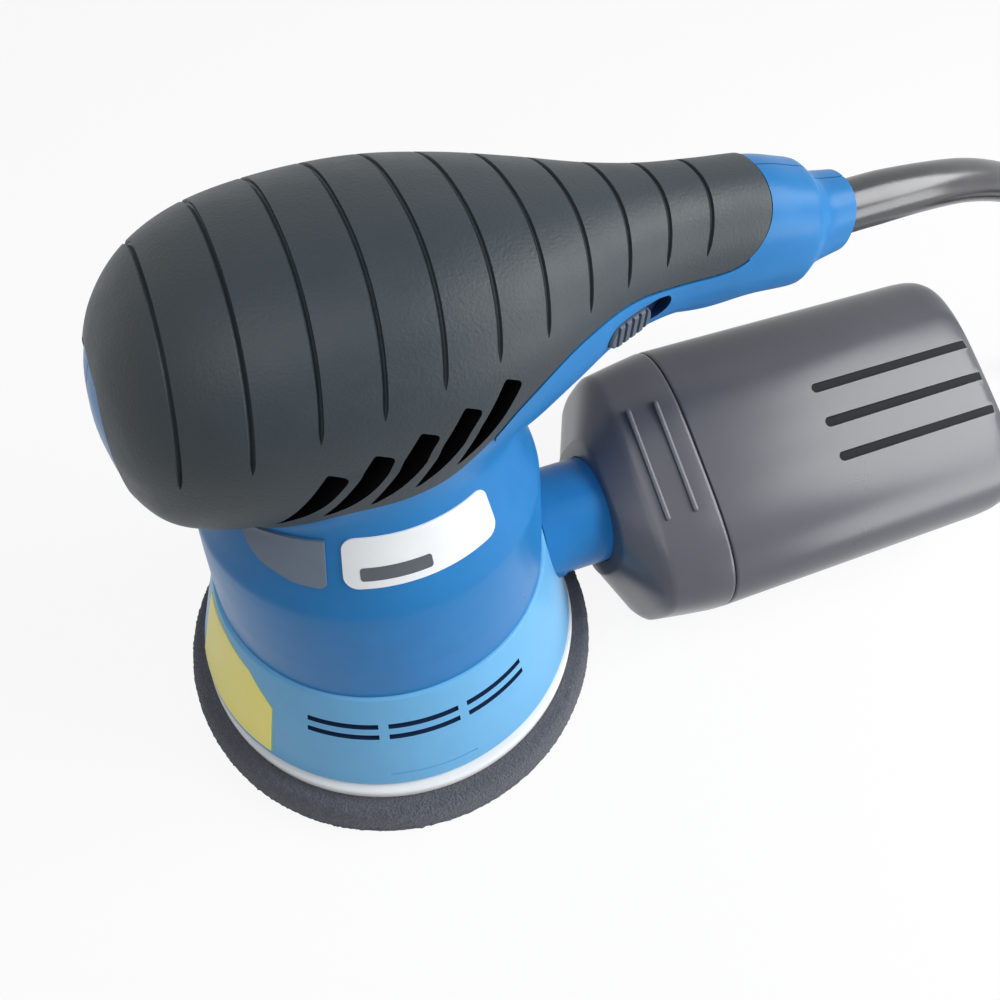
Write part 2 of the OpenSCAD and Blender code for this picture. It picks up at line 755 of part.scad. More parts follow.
fan_disc_t = 2.4;
fan_blades = 12;
weight_r = 29;
module cooling_fan() {
    blade_top = skirt_top - flange_t - 2.2 - 0.8;
    color("black") difference() {
        union() {
            translate([0, 0, fan_disc_z]) cylinder(d = fan_d, h = fan_disc_t);
            translate([0, 0, collar_z + gap]) cylinder(r = hub_collar_r + 4, h = blade_top - collar_z - gap);
            around([for (i = [0:fan_blades - 1]) i * 360 / fan_blades], weight_r + 1) {
                translate([0, 0, fan_disc_z - 11]) rotate([0, 0, 25]) cube([7, 1.6, 11]);
                translate([-8, 0, fan_disc_z]) rotate([0, 0, 25]) cube([14, 1.6, blade_top - fan_disc_z]);
            }
        }
        translate([0, 0, collar_z - over]) cylinder(r = hub_collar_r + slip, h = 40);
    }
}
module eccentric_hub() {
    color("silver") difference() {
        union() {
            translate([0, 0, hub_z]) cylinder(r = hub_r, h = collar_z - hub_z);
            translate([0, 0, collar_z]) cylinder(r = hub_collar_r, h = bearing_z - gap - collar_z);
        }
        translate([0, -orbit, hub_z - over]) cylinder(r = pad_bearing[0] / 2 + slip,
            h = pad_bearing_z + pad_bearing[2] - hub_z + over);
        translate([0, -orbit, pad_bearing_z]) cylinder(r = pad_bearing[0] / 2 - 2, h = web_z - pad_bearing_z);
        translate([0, 0, web_z - over]) cylinder(r = 2.6, h = 10);
        translate([0, 0, collar_z]) cylinder(r = shaft_d / 2 + slip, h = 40);
    }
}
module counterweight() {
    color("darkgray") sector(hub_r + slip, weight_r, fan_disc_z - 11, 11, 15, 150);
}
module hub_screw() {
    color("silver") {
        translate([0, 0, web_z - 3]) cylinder(r = 4.2, h = 3);
        translate([0, 0, web_z]) cylinder(r = 2.5, h = 11);
    }
}
module eccentric_bearing() {
    color("silver") translate([0, -orbit, 0]) bearing(pad_bearing, pad_bearing_z);
}

// Pad
pad_screw_ring_r = 12;
pad_screw_angles = [45, 135, 225, 315];
flange_pad_r = 18;
spindle_r = pad_bearing[1] / 2 - slip;
clip_t = 1;
clip_z = pad_bearing_z + pad_bearing[2] + seat;
module pad_spindle() {
    color("silver") translate([0, -orbit, 0]) difference() {
        union() {
            translate([0, 0, plate_top]) cylinder(r = flange_pad_r, h = 4);
            translate([0, 0, plate_top]) cylinder(r = spindle_r + 2, h = pad_bearing_z - plate_top - slip);
            translate([0, 0, plate_top]) cylinder(r = spindle_r, h = clip_z + clip_t + 0.5 - plate_top);
        }
        pipe(spindle_r + over, spindle_r - 0.7, clip_z - slip, clip_t + 2 * slip);
        around(pad_screw_angles, pad_screw_ring_r)
            translate([0, 0, plate_top - over]) cylinder(r = 2.05, h = 20);
    }
}
module spindle_clip() {
    color("gray") translate([0, -orbit, 0]) pipe(spindle_r + 2, spindle_r - 0.65, clip_z, clip_t);
}
module pad_holes(z0, h, screw_hole_r) {
    translate([0, 0, z0]) {
        around([for (i = [0:dust_holes - 1]) (i + 0.5) * 360 / dust_holes], dust_ring_d / 2)
            cylinder(d = dust_hole_d, h = h);
        around(pad_screw_angles, pad_screw_ring_r) cylinder(r = screw_hole_r, h = h);
    }
}
module backing_plate() {
    color("whitesmoke") translate([0, -orbit, 0]) difference() {
        translate([0, 0, plate_z]) cylinder(d = plate_d, h = plate_t);
        pad_holes(plate_z - over, plate_t + 2 * over, 2.1);
    }
}
pad_screw_head_r = 3.8;
module pad_screws() {
    color("silver") translate([0, -orbit, 0]) around(pad_screw_angles, pad_screw_ring_r) {
        translate([0, 0, plate_z - 2.4]) cylinder(r = pad_screw_head_r, h = 2.4);
        translate([0, 0, plate_z]) cylinder(r = 2, h = plate_t + 4);
    }
}
foam_bevel = 2.2;
module foam_pad() {
    r = pad_d / 2;
    color("dimgray") translate([0, -orbit, 0]) difference() {
        translate([0, 0, foam_z]) rotate_extrude($fn = 96)
            polygon([[0, 0], [r, 0], [r, foam_t * 0.55], [r - foam_bevel, foam_t], [0, foam_t]]);
        pad_holes(foam_z - over, foam_t + 2 * over, pad_screw_head_r + gap);
    }
}
module loop_facing() {
    color("gray") translate([0, -orbit, 0]) difference() {
        cylinder(d = pad_d, h = facing_t, $fn = 96);
        pad_holes(-over, facing_t + 2 * over, pad_screw_head_r + gap);
    }
}

// Slide knob of the switch
knob_ribs = 5;
module switch_knob() {
    color("gray") at_switch() translate([-knob_size[0] / 2, 0, 0]) {
        difference() {
            capsule_y(knob_size[0], knob_size[1], -1.4, recess_depth - 1);
            for (i = [1:knob_ribs])
                translate([i * knob_size[0] / (knob_ribs + 1) - 0.4, -2, -5]) cube([0.8, 1.1, 10]);
        }
        translate([4, recess_depth - 1, -stem_w / 2])
            cube([4.5, switch_box_y - recess_depth + 1 - gap, stem_w]);
    }
}

// Dust box, made level and then turned on its spout
box_exponent = 3.3;
box_sides = 48;
cap_x = spout_reach - 9;
seam_x = cap_x + cap_l;
box_end = seam_x + container_l;
lip_l = 6;
lip_taper = 1.2;
socket_r = spout_r + 0.25;
function box_ring(s) =
    ring_at(s[0], 0, box_w / 2 - s[1], box_t / 2 - s[len(s) - 1], box_exponent, box_sides);
module box_loft(stations) {
    loft([for (s = stations) box_ring(s)]);
}

// Front cap: x and the insets of its width and height, outside and inside
cap_rim_x = cap_x + 3.5;
cap_rim_in = 2.2;
cap_form = [[cap_x - 5.5, 20, 7.2], [cap_x + 2, 4.5, 3], [cap_rim_x, 2.8, cap_rim_in], [seam_x, 0, 0]];
cap_hollow = [[cap_x - 2.5, 19, 8.5], [cap_rim_x, 6.5, 5], [cap_rim_x + 2, 4.8, 4.4],
    [seam_x + over, box_wall, box_wall]];
function cap_in(x) = cap_rim_in * (seam_x - x) / (seam_x - cap_rim_x);
cap_rib_h = 0.8;
cap_rib_w = 1.6;
cap_rib_l = 34;
cap_rib_mid = 4;
cap_ribs = [cap_x + 6, cap_x + 14.4];
module dust_cap() {
    color("#5a5a60") on_spout() {
        difference() {
            union() {
                box_loft(cap_form);
                for (x = cap_ribs, side = [-1, 1])
                    translate([x, cap_rib_mid - cap_rib_l / 2, side * (box_t / 2 - cap_in(x)) - cap_rib_h])
                        cube([cap_rib_w, cap_rib_l, 2 * cap_rib_h]);
            }
            box_loft(cap_hollow);
            rod_x(cap_x - 10, seam_x, socket_r);
        }
        difference() {
            rod_x(cap_x - 4, spout_reach + 1, socket_r + box_wall);
            rod_x(cap_x - 10, seam_x, socket_r);
        }
    }
}
groove_u = 11;
groove_from = 42;
module dust_container() {
    depth = box_wall / 2;
    color("#5a5a60") on_spout() difference() {
        union() {
            box_loft([[seam_x + seat, 0], [box_end - 7, 0.4], [box_end - 3, 1.6], [box_end - 0.8, 4],
                [box_end, 7]]);
            box_loft([[seam_x - lip_l, box_wall + lip_taper + gap], [seam_x + 3, box_wall + gap]]);
        }
        box_loft([[seam_x - lip_l - over, 2 * box_wall + lip_taper], [seam_x + over, 2 * box_wall],
            [seam_x + 4, box_wall], [box_end - 8, box_wall + 0.6], [box_end - box_wall, 7]]);
        for (u = [-groove_u, 0, groove_u], side = [-1, 1])
            translate([seam_x + groove_from, u - 1.4, side * (box_t / 2 - 1) - depth])
                cube([container_l, 2.8, 2 * depth]);
    }
}
filter_x = seam_x - lip_l - 3.4;
filter_t = 3;
filter_in = box_wall + lip_taper + 0.5;
filter_rim = 4.3;
filter_pleat = 5;
filter_depth = 4.5;
paper_t = 1.2;
module filter_frame() {
    inner = filter_in + filter_rim;
    color("black") on_spout() difference() {
        box_loft([[filter_x, filter_in], [filter_x + filter_t, filter_in]]);
        box_loft([[filter_x - over, inner], [filter_x + filter_t + over, inner]]);
    }
}
module filter_element() {
    inset = filter_in + filter_rim + seat;
    w = box_w / 2 - inset - seat;
    h = box_t / 2 - inset - seat;
    folds = 2 * floor(w / filter_pleat);
    function fold(i) = [i % 2 == 0 ? 0 : filter_depth, i * filter_pleat - w];
    color("wheat") on_spout() intersection() {
        box_loft([[filter_x - over, inset], [filter_x + 2 * filter_depth, inset]]);
        translate([filter_x + 2 * seat, 0, -h]) linear_extrude(2 * h)
            polygon(concat([for (i = [0:folds]) fold(i)], [for (i = [folds:-1:0]) fold(i) + [paper_t, 0]]));
    }
}

// Cord: one hand-laid route runs through the boot and falls to the coil
route_top = 126.5;
cord_rest = cord_d / 2;
boot_route = [[105, 0, 126.5], [122, 0, 126.5], [136, 0, 126.5], [150, 0, 125.8], [164, 1, 123.3],
    [176, 2, 119.6], [187, 3, 115]];
free_route = [[201, 4, 107.5], [214, 5, 97.5], [225, 6, 85.5], [234, 7, 72], [242, 8, 57.5], [250, 9, 42.5],
    [259, 10, 26.5], [268, 11, 14.5], [278, 11, 6.8], [289, 11, 3.9], [299, 11, 3.5]];
boot_radii = [boot_neck_r, boot_neck_r, boot_neck_r, 6, 5.6, 5.2, 4.8];
route_steps = 2;
function hung(z) = cord_rest + (z - cord_rest) * (tail_z - cord_rest) / (route_top - cord_rest);
cord_path = smooth([for (q = concat(boot_route, free_route)) [q[0], q[1], hung(q[2])]], route_steps);
boot_end = (len(boot_route) - 1) * route_steps;
module cord_boot() {
    radii = [for (s = smooth([for (r = boot_radii) [r, 0]], route_steps)) s[0]];
    color("black") {
        loft([for (i = [0:boot_end]) hoop(cord_path, i, radii[i], 16)]);
        translate([0, 0, tail_z]) rod_x(boot_flange_x, boot_flange_x + boot_flange_t, boot_flange_r);
    }
}
module cord_tube() {
    color("black") loft([for (i = [boot_end:len(cord_path) - 1]) hoop(cord_path, i, cord_d / 2, 10)]);
}

// Coil beside the end of the route, with its tie
coil_ring_w = coil_across * cord_d;
coil_ring_h = coil_up * cord_d;
coil_inner_r = coil_d / 2 - coil_ring_w / 2;
coil_outer_r = coil_d / 2 + coil_ring_w / 2;
outer_turn_r = coil_outer_r - cord_d / 2;
cord_end = cord_path[len(cord_path) - 1];
coil_reach = sqrt(pow(coil_outer_r, 2) - pow(outer_turn_r - cord_d / 2, 2)) + gap;
coil_at = [cord_end[0] + coil_reach, cord_end[1] - outer_turn_r, 0];
module cord_coil() {
    color("black") translate(coil_at) rotate_extrude()
        translate([coil_inner_r, 0]) square([coil_ring_w, coil_ring_h]);
}
tie_w = 8;
tie_t = 1.5;
tie_play = 0.5;
module cord_tie() {
    inner_w = coil_ring_w + 2 * tie_play;
    color("dimgray") translate(coil_at - [coil_d / 2, 0, 0]) difference() {
        translate([-inner_w / 2 - tie_t, -tie_w / 2, 0])
            cube([inner_w + 2 * tie_t, tie_w, coil_ring_h + seat + tie_t]);
        translate([-inner_w / 2, -tie_w, -over]) cube([inner_w, 2 * tie_w, coil_ring_h + seat + over]);
    }
}

// Plug that lies on the coil: half outlines seen from above and from the side
plug_neck_r = 5;
plug_half_t = 8.2;
plug_l = 45;
plug_plan = [[0, plug_neck_r], [10, 5.5], [20, 8.5], [28, 15], [33, 17.5], [plug_l, 17.5]];
plug_side = [[0, plug_neck_r], [20, 6], [30, plug_half_t], [plug_l, plug_half_t]];
plug_aside = coil_d / 2 - 10;
plug_back = 5;
plug_at = coil_at + [plug_aside, plug_back, coil_ring_h + seat + plug_half_t];
function mirrored(p) = concat(p, [for (i = [len(p) - 1:-1:0]) [p[i][0], -p[i][1]]]);
module at_plug() {
    translate(plug_at) rotate([0, 0, -90]) children();
}
module plug_body() {
    color("black") at_plug() intersection() {
        translate([0, 0, -plug_half_t]) linear_extrude(2 * plug_half_t) polygon(mirrored(plug_plan));
        rotate([90, 0, 0]) translate([0, 0, -big / 2]) linear_extrude(big) polygon(mirrored(plug_side));
    }
}
pin_l = 19;
module plug_pins() {
    color("silver") at_plug() for (s = [-1, 1])
        translate([0, s * pin_pitch / 2, 0]) rod_x(plug_l, plug_l + pin_l, pin_d / 2);
}

left_housing();
right_housing();
housing_screws();
grip_cover();
thumb_pads();
rating_plate();
side_sticker();
skirt();
skirt_screws();
brake_ring();
motor_plate();
lower_bearing();
stator_core();
field_coils();
brush_plate();
brush_holders();
carbon_brushes();
brush_springs();
upper_bearing();
bearing_sleeve();
switch_body();
capacitor();
inner_wires();
lead_in();
cord_clamp();
clamp_screws();
cord_boot();
armature_shaft();
armature_core();
armature_windings();
commutator();
cooling_fan();
eccentric_hub();
counterweight();
hub_screw();
eccentric_bearing();
pad_spindle();
spindle_clip();
backing_plate();
pad_screws();
foam_pad();
loop_facing();
switch_knob();
spout_seal();
dust_cap();
filter_frame();
filter_element();
dust_container();
cord_tube();
cord_coil();
cord_tie();
plug_body();
plug_pins();
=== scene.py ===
import json
import math

import bmesh
import bpy
import numpy as np
from mathutils import Matrix, Vector


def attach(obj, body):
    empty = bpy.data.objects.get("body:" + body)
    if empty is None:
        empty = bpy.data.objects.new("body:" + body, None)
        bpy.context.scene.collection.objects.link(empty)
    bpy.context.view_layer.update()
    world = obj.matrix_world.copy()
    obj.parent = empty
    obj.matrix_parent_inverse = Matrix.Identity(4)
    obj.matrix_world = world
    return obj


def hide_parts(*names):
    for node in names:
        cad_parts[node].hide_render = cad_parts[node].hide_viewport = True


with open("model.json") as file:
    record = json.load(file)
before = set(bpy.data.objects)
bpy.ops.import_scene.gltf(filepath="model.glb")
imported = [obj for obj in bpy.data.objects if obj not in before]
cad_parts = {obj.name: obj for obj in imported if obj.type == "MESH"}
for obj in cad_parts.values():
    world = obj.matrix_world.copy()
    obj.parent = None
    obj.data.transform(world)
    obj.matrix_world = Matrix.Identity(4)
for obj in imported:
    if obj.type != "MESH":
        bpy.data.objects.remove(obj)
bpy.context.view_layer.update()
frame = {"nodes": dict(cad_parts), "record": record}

SCENE = bpy.context.scene
SCENE.view_settings.view_transform = "Standard"
MM = 0.001  # shapes are written in millimetres of the part's frame


# Camera at the photograph's angle
CAMERA_ELEVATION, CAMERA_AZIMUTH, CAMERA_ROLL = math.radians(54.39), math.radians(-26.0), math.radians(2.61)
CAMERA_DISTANCE, CAMERA_TARGET = 247.3, Vector((33.8, -5.0, 60.0))
SENSOR = 36
FOCAL_SHARE = 0.9


def aim_camera():
    el, az = CAMERA_ELEVATION, CAMERA_AZIMUTH
    back = Vector((math.sin(az) * math.cos(el), -math.cos(az) * math.cos(el), math.sin(el)))
    right = Vector((math.cos(az), math.sin(az), 0))
    up = back.cross(right)
    c, s = math.cos(CAMERA_ROLL), math.sin(CAMERA_ROLL)
    x, y = c * right + s * up, -s * right + c * up
    eye = CAMERA_TARGET + back * CAMERA_DISTANCE
    data = bpy.data.cameras.new("camera")
    data.sensor_width = SENSOR
    data.sensor_fit = "HORIZONTAL"
    data.lens = SENSOR * FOCAL_SHARE
    data.clip_start = 0.01
    cam = bpy.data.objects.new("camera", data)
    cam.matrix_world = Matrix.Translation(eye * MM) @ Matrix((x, y, back)).transposed().to_4x4()
    SCENE.collection.objects.link(cam)
    SCENE.camera = cam


# Materials: two tints in soft patches, with a fine grain for gloss and relief
def colour(r, g, b):
    def lin(v):
        v /= 255
        return v / 12.92 if v <= 0.04045 else ((v + 0.055) / 1.055) ** 2.4
    return (lin(r), lin(g), lin(b), 1)


SLOTS = {}  # materials by name: a slot of the record takes the one that bears its name


def material(name, base, other, rough=0.5, spread=0.08, metal=0.0, spec=0.5, patch=120, grain=2200, bump=0.1,
             height=0.0002, sheen=0.0, stretch=(1, 1, 1), cells=False):
    m = bpy.data.materials.new(name)
    m.use_nodes = True
    nodes, link = m.node_tree.nodes, m.node_tree.links.new
    shader = nodes["Principled BSDF"]
    shader.inputs["Metallic"].default_value = metal
    shader.inputs["Specular IOR Level"].default_value = spec
    shader.inputs["Sheen Weight"].default_value = sheen
    at = nodes.new("ShaderNodeTexCoord")
    place = nodes.new("ShaderNodeMapping")
    place.inputs["Scale"].default_value = stretch
    link(at.outputs["Object"], place.inputs["Vector"])
    clouds = nodes.new("ShaderNodeTexNoise")
    clouds.inputs["Scale"].default_value = patch
    clouds.inputs["Detail"].default_value = 4
    link(place.outputs["Vector"], clouds.inputs["Vector"])
    fine = nodes.new("ShaderNodeTexVoronoi" if cells else "ShaderNodeTexNoise")
    fine.inputs["Scale"].default_value = grain
    fine.inputs["Detail"].default_value = 2
    link(place.outputs["Vector"], fine.inputs["Vector"])
    both = nodes.new("ShaderNodeMath")
    both.operation = "MULTIPLY_ADD"
    both.inputs[1].default_value = 0.35
    link(fine.outputs[0], both.inputs[0])
    link(clouds.outputs[0], both.inputs[2])
    tint = nodes.new("ShaderNodeMix")
    tint.data_type = "RGBA"
    tint.inputs[6].default_value = base
    tint.inputs[7].default_value = other
    link(both.outputs[0], tint.inputs[0])
    link(tint.outputs[2], shader.inputs["Base Color"])
    shine = nodes.new("ShaderNodeMapRange")
    shine.inputs["From Min"].default_value = 0.3
    shine.inputs["From Max"].default_value = 0.9
    shine.inputs["To Min"].default_value = max(0.02, rough - spread)
    shine.inputs["To Max"].default_value = min(1, rough + spread)
    link(both.outputs[0], shine.inputs["Value"])
    link(shine.outputs["Result"], shader.inputs["Roughness"])
    relief = nodes.new("ShaderNodeBump")
    relief.inputs["Strength"].default_value = bump
    relief.inputs["Distance"].default_value = height
    link(fine.outputs[0], relief.inputs["Height"])
    link(relief.outputs["Normal"], shader.inputs["Normal"])
    SLOTS[name] = m
    return m


BLUE = material("housing_blue", colour(30, 111, 174), colour(40, 123, 188), rough=0.3, spread=0.04, spec=0.15,
                grain=1600, bump=0.02, height=0.0001)
# Skirt blue: the housing's blue painted lighter, as painted light on the skirt's upward-facing slope
LIT_SKIRT_BLUE = material("skirt_blue", colour(100, 168, 216), colour(110, 178, 224), rough=0.32, spread=0.04, spec=0.2,
                      grain=1600, bump=0.05, height=0.0001)
# Recess blue: the housing's blue darkened, painted shade on the walls of the switch pocket, screw wells, tail bore and
# skirt slots
SHADED_RECESS_BLUE = material("recess_blue", colour(14, 34, 70), colour(18, 40, 78), rough=0.6, spec=0.15)
RUBBER = material("grip_rubber", colour(36, 45, 51), colour(48, 57, 63), rough=0.46, spread=0.06, spec=0.35,
                  patch=160, grain=1500, bump=0.3, height=0.0003)
# Thumb rubber: the grip's rubber painted lighter and bluer, a painted sheen of the upward-facing pads
THUMB_SHEEN = material("thumb_rubber", colour(102, 115, 132), colour(116, 129, 146), rough=0.6, spec=0.3, grain=1800,
                 bump=0.2)
# Inside black: painted shade, black for the housing's hollow, the vents' shallow floors and the gap round the rubber's
# edge
SHADE_BLACK = material("inside_black", colour(6, 6, 7), colour(12, 12, 13), rough=0.8, spec=0.05)
WHITE = material("label_white", colour(226, 230, 234), colour(236, 239, 242), rough=0.32, spread=0.06, bump=0.03)
BAR = material("label_bar", colour(70, 76, 84), colour(82, 88, 96), rough=0.4, bump=0.03)
YELLOW = material("label_yellow", colour(246, 233, 114), colour(251, 240, 126), rough=0.4, bump=0.03)
PLATE = material("plate_white", colour(224, 227, 230), colour(234, 237, 239), rough=0.45, bump=0.06)
BOX = material("box_grey", colour(71, 72, 80), colour(81, 82, 90), rough=0.28, spread=0.015, spec=0.5, patch=40,
               grain=2600, bump=0.1, height=0.00012)
# Box groove: the box's grey darkened into painted shade for its grooves, hollows and dust way
BOX_GROOVE_SHADE = material("box_groove", colour(38, 38, 42), colour(46, 46, 50), rough=0.7, spec=0.1)
KNOB = material("knob_grey", colour(70, 80, 94), colour(82, 92, 106), rough=0.45, spec=0.3)
CORD = material("cord_rubber", colour(36, 37, 42), colour(48, 49, 54), rough=0.22, spread=0.04, spec=0.7, grain=1800,
                bump=0.08)
PLUG = material("plug_black", colour(20, 20, 22), colour(30, 30, 33), rough=0.5, grain=1800, bump=0.15)
FOAM = material("pad_foam", colour(64, 67, 75), colour(96, 100, 110), rough=0.95, patch=700, grain=1300, bump=0.9,
                height=0.0006, sheen=0.1, cells=True)
LOOPS = material("loop_fabric", colour(58, 60, 67), colour(98, 101, 110), rough=0.95, patch=900, grain=2600, bump=1,
                 height=0.0006, sheen=0.25)
TIE = material("tie_grey", colour(36, 36, 38), colour(52, 52, 55), rough=0.85, grain=900, bump=0.6,
               stretch=(1, 3, 1))
# Finishes of the inner parts
material("steel", colour(168, 170, 174), colour(196, 198, 202), rough=0.3, metal=1, grain=900, bump=0.06,
         stretch=(1, 1, 6))
material("bearing_steel", colour(190, 192, 196), colour(214, 216, 220), rough=0.22, metal=1, grain=1200,
         bump=0.04, stretch=(1, 1, 8))
material("lamination_steel", colour(110, 112, 116), colour(146, 148, 152), rough=0.42, metal=1,
         patch=60, grain=700, bump=0.5, stretch=(0.02, 0.02, 3))
material("weight_iron", colour(92, 92, 95), colour(118, 118, 121), rough=0.6, metal=1, grain=1500, bump=0.4)
material("alloy", colour(172, 174, 178), colour(194, 196, 200), rough=0.45, metal=1, grain=1100, bump=0.3)
material("copper", colour(168, 92, 48), colour(196, 116, 64), rough=0.34, metal=1, grain=900, bump=0.6,
         stretch=(1, 1, 0.15))
material("brass", colour(190, 156, 84), colour(214, 180, 104), rough=0.3, metal=1, bump=0.1)
material("plug_brass", colour(186, 184, 176), colour(208, 206, 198), rough=0.24, metal=1, bump=0.05,
         stretch=(1, 6, 1))
material("carbon", colour(26, 26, 28), colour(44, 44, 47), rough=0.6, bump=0.3)
material("board_brown", colour(110, 72, 42), colour(134, 90, 54), rough=0.55, patch=300, bump=0.2)
material("black_plastic", colour(24, 24, 26), colour(36, 36, 39), rough=0.5, bump=0.15)
material("black_rubber", colour(18, 18, 19), colour(30, 30, 31), rough=0.7, bump=0.25)
material("capacitor_yellow", colour(204, 164, 52), colour(222, 184, 70), rough=0.3, bump=0.06)
material("wire_red", colour(150, 34, 26), colour(176, 46, 36), rough=0.4, bump=0.08)
material("filter_paper", colour(214, 200, 164), colour(230, 218, 186), rough=0.9, patch=500, bump=0.5)


# Curves and outlines
def smooth(points, n):
    p = np.array(points, float)
    last = len(p) - 1
    out = []
    for i in range(last):
        a, b, c, d = p[max(i - 1, 0)], p[i], p[i + 1], p[min(i + 2, last)]
        for k in range(n):
            t = k / n
            out.append(0.5 * (2 * b + (c - a) * t + (2 * a - 5 * b + 4 * c - d) * t * t
                              + (3 * b - a - 3 * c + d) * t ** 3))
    return np.array(out + [p[last]])


def ease(t):
    t = np.clip(t, 0, 1)
    return t * t * (3 - 2 * t)


def oblong(w, h, exponent, sides):
    a = 2 * np.pi * (np.arange(sides) + 0.5) / sides
    c, s = np.cos(a), np.sin(a)
    return np.stack([w * np.sign(c) * np.abs(c) ** (2 / exponent), h * np.sign(s) * np.abs(s) ** (2 / exponent)], 1)


# Meshes
def make(name, verts, faces, *mats, close=True):
    me = bpy.data.meshes.new(name)
    me.from_pydata((np.asarray(verts, float) * MM).tolist(), [], [list(f) for f in faces])
    if close:
        bm = bmesh.new()
        bm.from_mesh(me)
        bmesh.ops.remove_doubles(bm, verts=bm.verts, dist=1e-8)
        bmesh.ops.recalc_face_normals(bm, faces=bm.faces)
        bm.to_mesh(me)
        bm.free()
    for m in mats:
        me.materials.append(m)
    ob = bpy.data.objects.new(name, me)
    SCENE.collection.objects.link(ob)
    return ob


def drop(ob):
    me = ob.data
    bpy.data.objects.remove(ob)
    bpy.data.meshes.remove(me)


def apply(ob):
    me = bpy.data.meshes.new_from_object(ob.evaluated_get(bpy.context.evaluated_depsgraph_get()))
    old = ob.data
    ob.modifiers.clear()
    ob.data = me
    bpy.data.meshes.remove(old)


def join(ob, tool, how="DIFFERENCE", keep=False):
    mod = ob.modifiers.new("join", "BOOLEAN")
    mod.operation = how
    mod.solver = "MANIFOLD"
    mod.material_mode = "TRANSFER"
    mod.object = tool
    apply(ob)
    if not keep:
        drop(tool)


# Takes out the slivers that cuts leave: points that lie together and faces laid double
SLIVER = 1e-6


def clean(ob):
    bm = bmesh.new()
    bm.from_mesh(ob.data)
    bmesh.ops.remove_doubles(bm, verts=bm.verts, dist=2 * SLIVER)
    bmesh.ops.dissolve_degenerate(bm, edges=bm.edges, dist=SLIVER)
    bmesh.ops.triangulate(bm, faces=[f for f in bm.faces if len(f.verts) > 4])
    bmesh.ops.dissolve_degenerate(bm, edges=bm.edges, dist=SLIVER)
    alike = {}
    for f in bm.faces:
        alike.setdefault(frozenset(f.verts), []).append(f)
    bmesh.ops.delete(bm, geom=[f for group in alike.values() if len(group) > 1 for f in group], context="FACES")
    bm.to_mesh(ob.data)
    bm.free()


# Finishes a piece: smooth up to an edge angle, on its body, and hides the nodes it stands for
def dress(ob, body, slot, *nodes, angle=38):
    clean(ob)
    ob.data.polygons.foreach_set("use_smooth", [True] * len(ob.data.polygons))
    ob.data.set_sharp_from_angle(angle=math.radians(angle))
    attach(ob, body)
    if nodes:
        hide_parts(*nodes)


def merged(name, obs, *mats):
    verts, faces, base = [], [], 0
    for ob in obs:
        verts += [np.array(v.co) / MM for v in ob.data.vertices]
        faces += [[base + i for i in f.vertices] for f in ob.data.polygons]
        base += len(ob.data.vertices)
        drop(ob)
    return make(name, verts, faces, *mats, close=False)


# Faces between m rings of n points; the last ring meets the first where the shape is closed round
def ring_faces(m, n, closed):
    return [(j * n + i, ((j + 1) % m) * n + i, ((j + 1) % m) * n + (i + 1) % n, j * n + (i + 1) % n)
            for j in range(m if closed else m - 1) for i in range(n)]


def loft(name, rings, *mats):
    m, n = len(rings), len(rings[0])
    faces = ring_faces(m, n, False) + [range(n), range(m * n - 1, (m - 1) * n - 1, -1)]
    return make(name, np.concatenate(rings), faces, *mats)


def round_loft(name, rings, *mats):
    return make(name, np.concatenate(rings), ring_faces(len(rings), len(rings[0]), True), *mats)


def level_rings(profile, sides, y=0.0):
    a = 2 * np.pi * np.arange(sides) / sides
    return [np.stack([r * np.cos(a), y + r * np.sin(a), np.full(sides, z)], 1) for r, z in profile]


def along_x(name, profile, *mats, sides=96):
    a = 2 * np.pi * np.arange(sides) / sides
    return round_loft(name, [np.stack([np.full(sides, x), r * np.cos(a), r * np.sin(a)], 1) for x, r in profile], *mats)


# A thin sheet from two grids of m rows of n points, the outer one first
def slab(name, outer, inner, *mats):
    m, n = len(outer), len(outer[0])
    faces = [(j * n + i, j * n + i + 1, (j + 1) * n + i + 1, (j + 1) * n + i)
             for j in range(m - 1) for i in range(n - 1)]
    faces += [[m * n + k for k in f][::-1] for f in faces]
    rim = (list(range(n)) + [j * n + n - 1 for j in range(1, m)]
           + [(m - 1) * n + i for i in range(n - 2, -1, -1)] + [j * n for j in range(m - 2, 0, -1)])
    faces += [(a, m * n + a, m * n + b, b) for a, b in zip(rim, rim[1:] + rim[:1])]
    return make(name, np.concatenate(outer + inner), faces, *mats)


# An outline with rounded corners; a corner's third value is a radius of its own
def rounded(corners, radius, steps=5):
    p = [np.array(c[:2], float) for c in corners]
    out = []
    for i, c in enumerate(p):
        r = corners[i][2] if len(corners[i]) > 2 else radius
        a, b = p[i - 1] - c, p[(i + 1) % len(p)] - c
        r = min(r, 0.45 * np.linalg.norm(a), 0.45 * np.linalg.norm(b))
        a, b = c + a / np.linalg.norm(a) * r, c + b / np.linalg.norm(b) * r
        for k in range(steps + 1):
            t = k / steps
            out.append((1 - t) ** 2 * a + 2 * t * (1 - t) * c + t * t * b)
    return np.array(out)


def prism(name, outline, y0, y1, *mats):
    p = np.asarray(outline, float)
    rings = [np.stack([p[:, 0], np.full(len(p), y), p[:, 1]], 1) for y in (y0, y1)]
    return loft(name, rings, *mats)


def unit(v):
    return v / np.linalg.norm(v, axis=1)[:, None]


def sweep(name, path, radii, *mats, sides):
    path = np.asarray(path, float)
    t = unit(np.gradient(path, axis=0))
    u = np.cross(t[0], (0, 0, 1) if abs(t[0][2]) < 0.9 else (0, 1, 0))
    a = 2 * np.pi * np.arange(sides) / sides
    rings = []
    for p, r, k in zip(path, radii, t):
        u = u - k * (u @ k)
        u /= np.linalg.norm(u)
        rings.append(p + r * (np.cos(a)[:, None] * u + np.sin(a)[:, None] * np.cross(k, u)))
    return loft(name, rings, *mats)


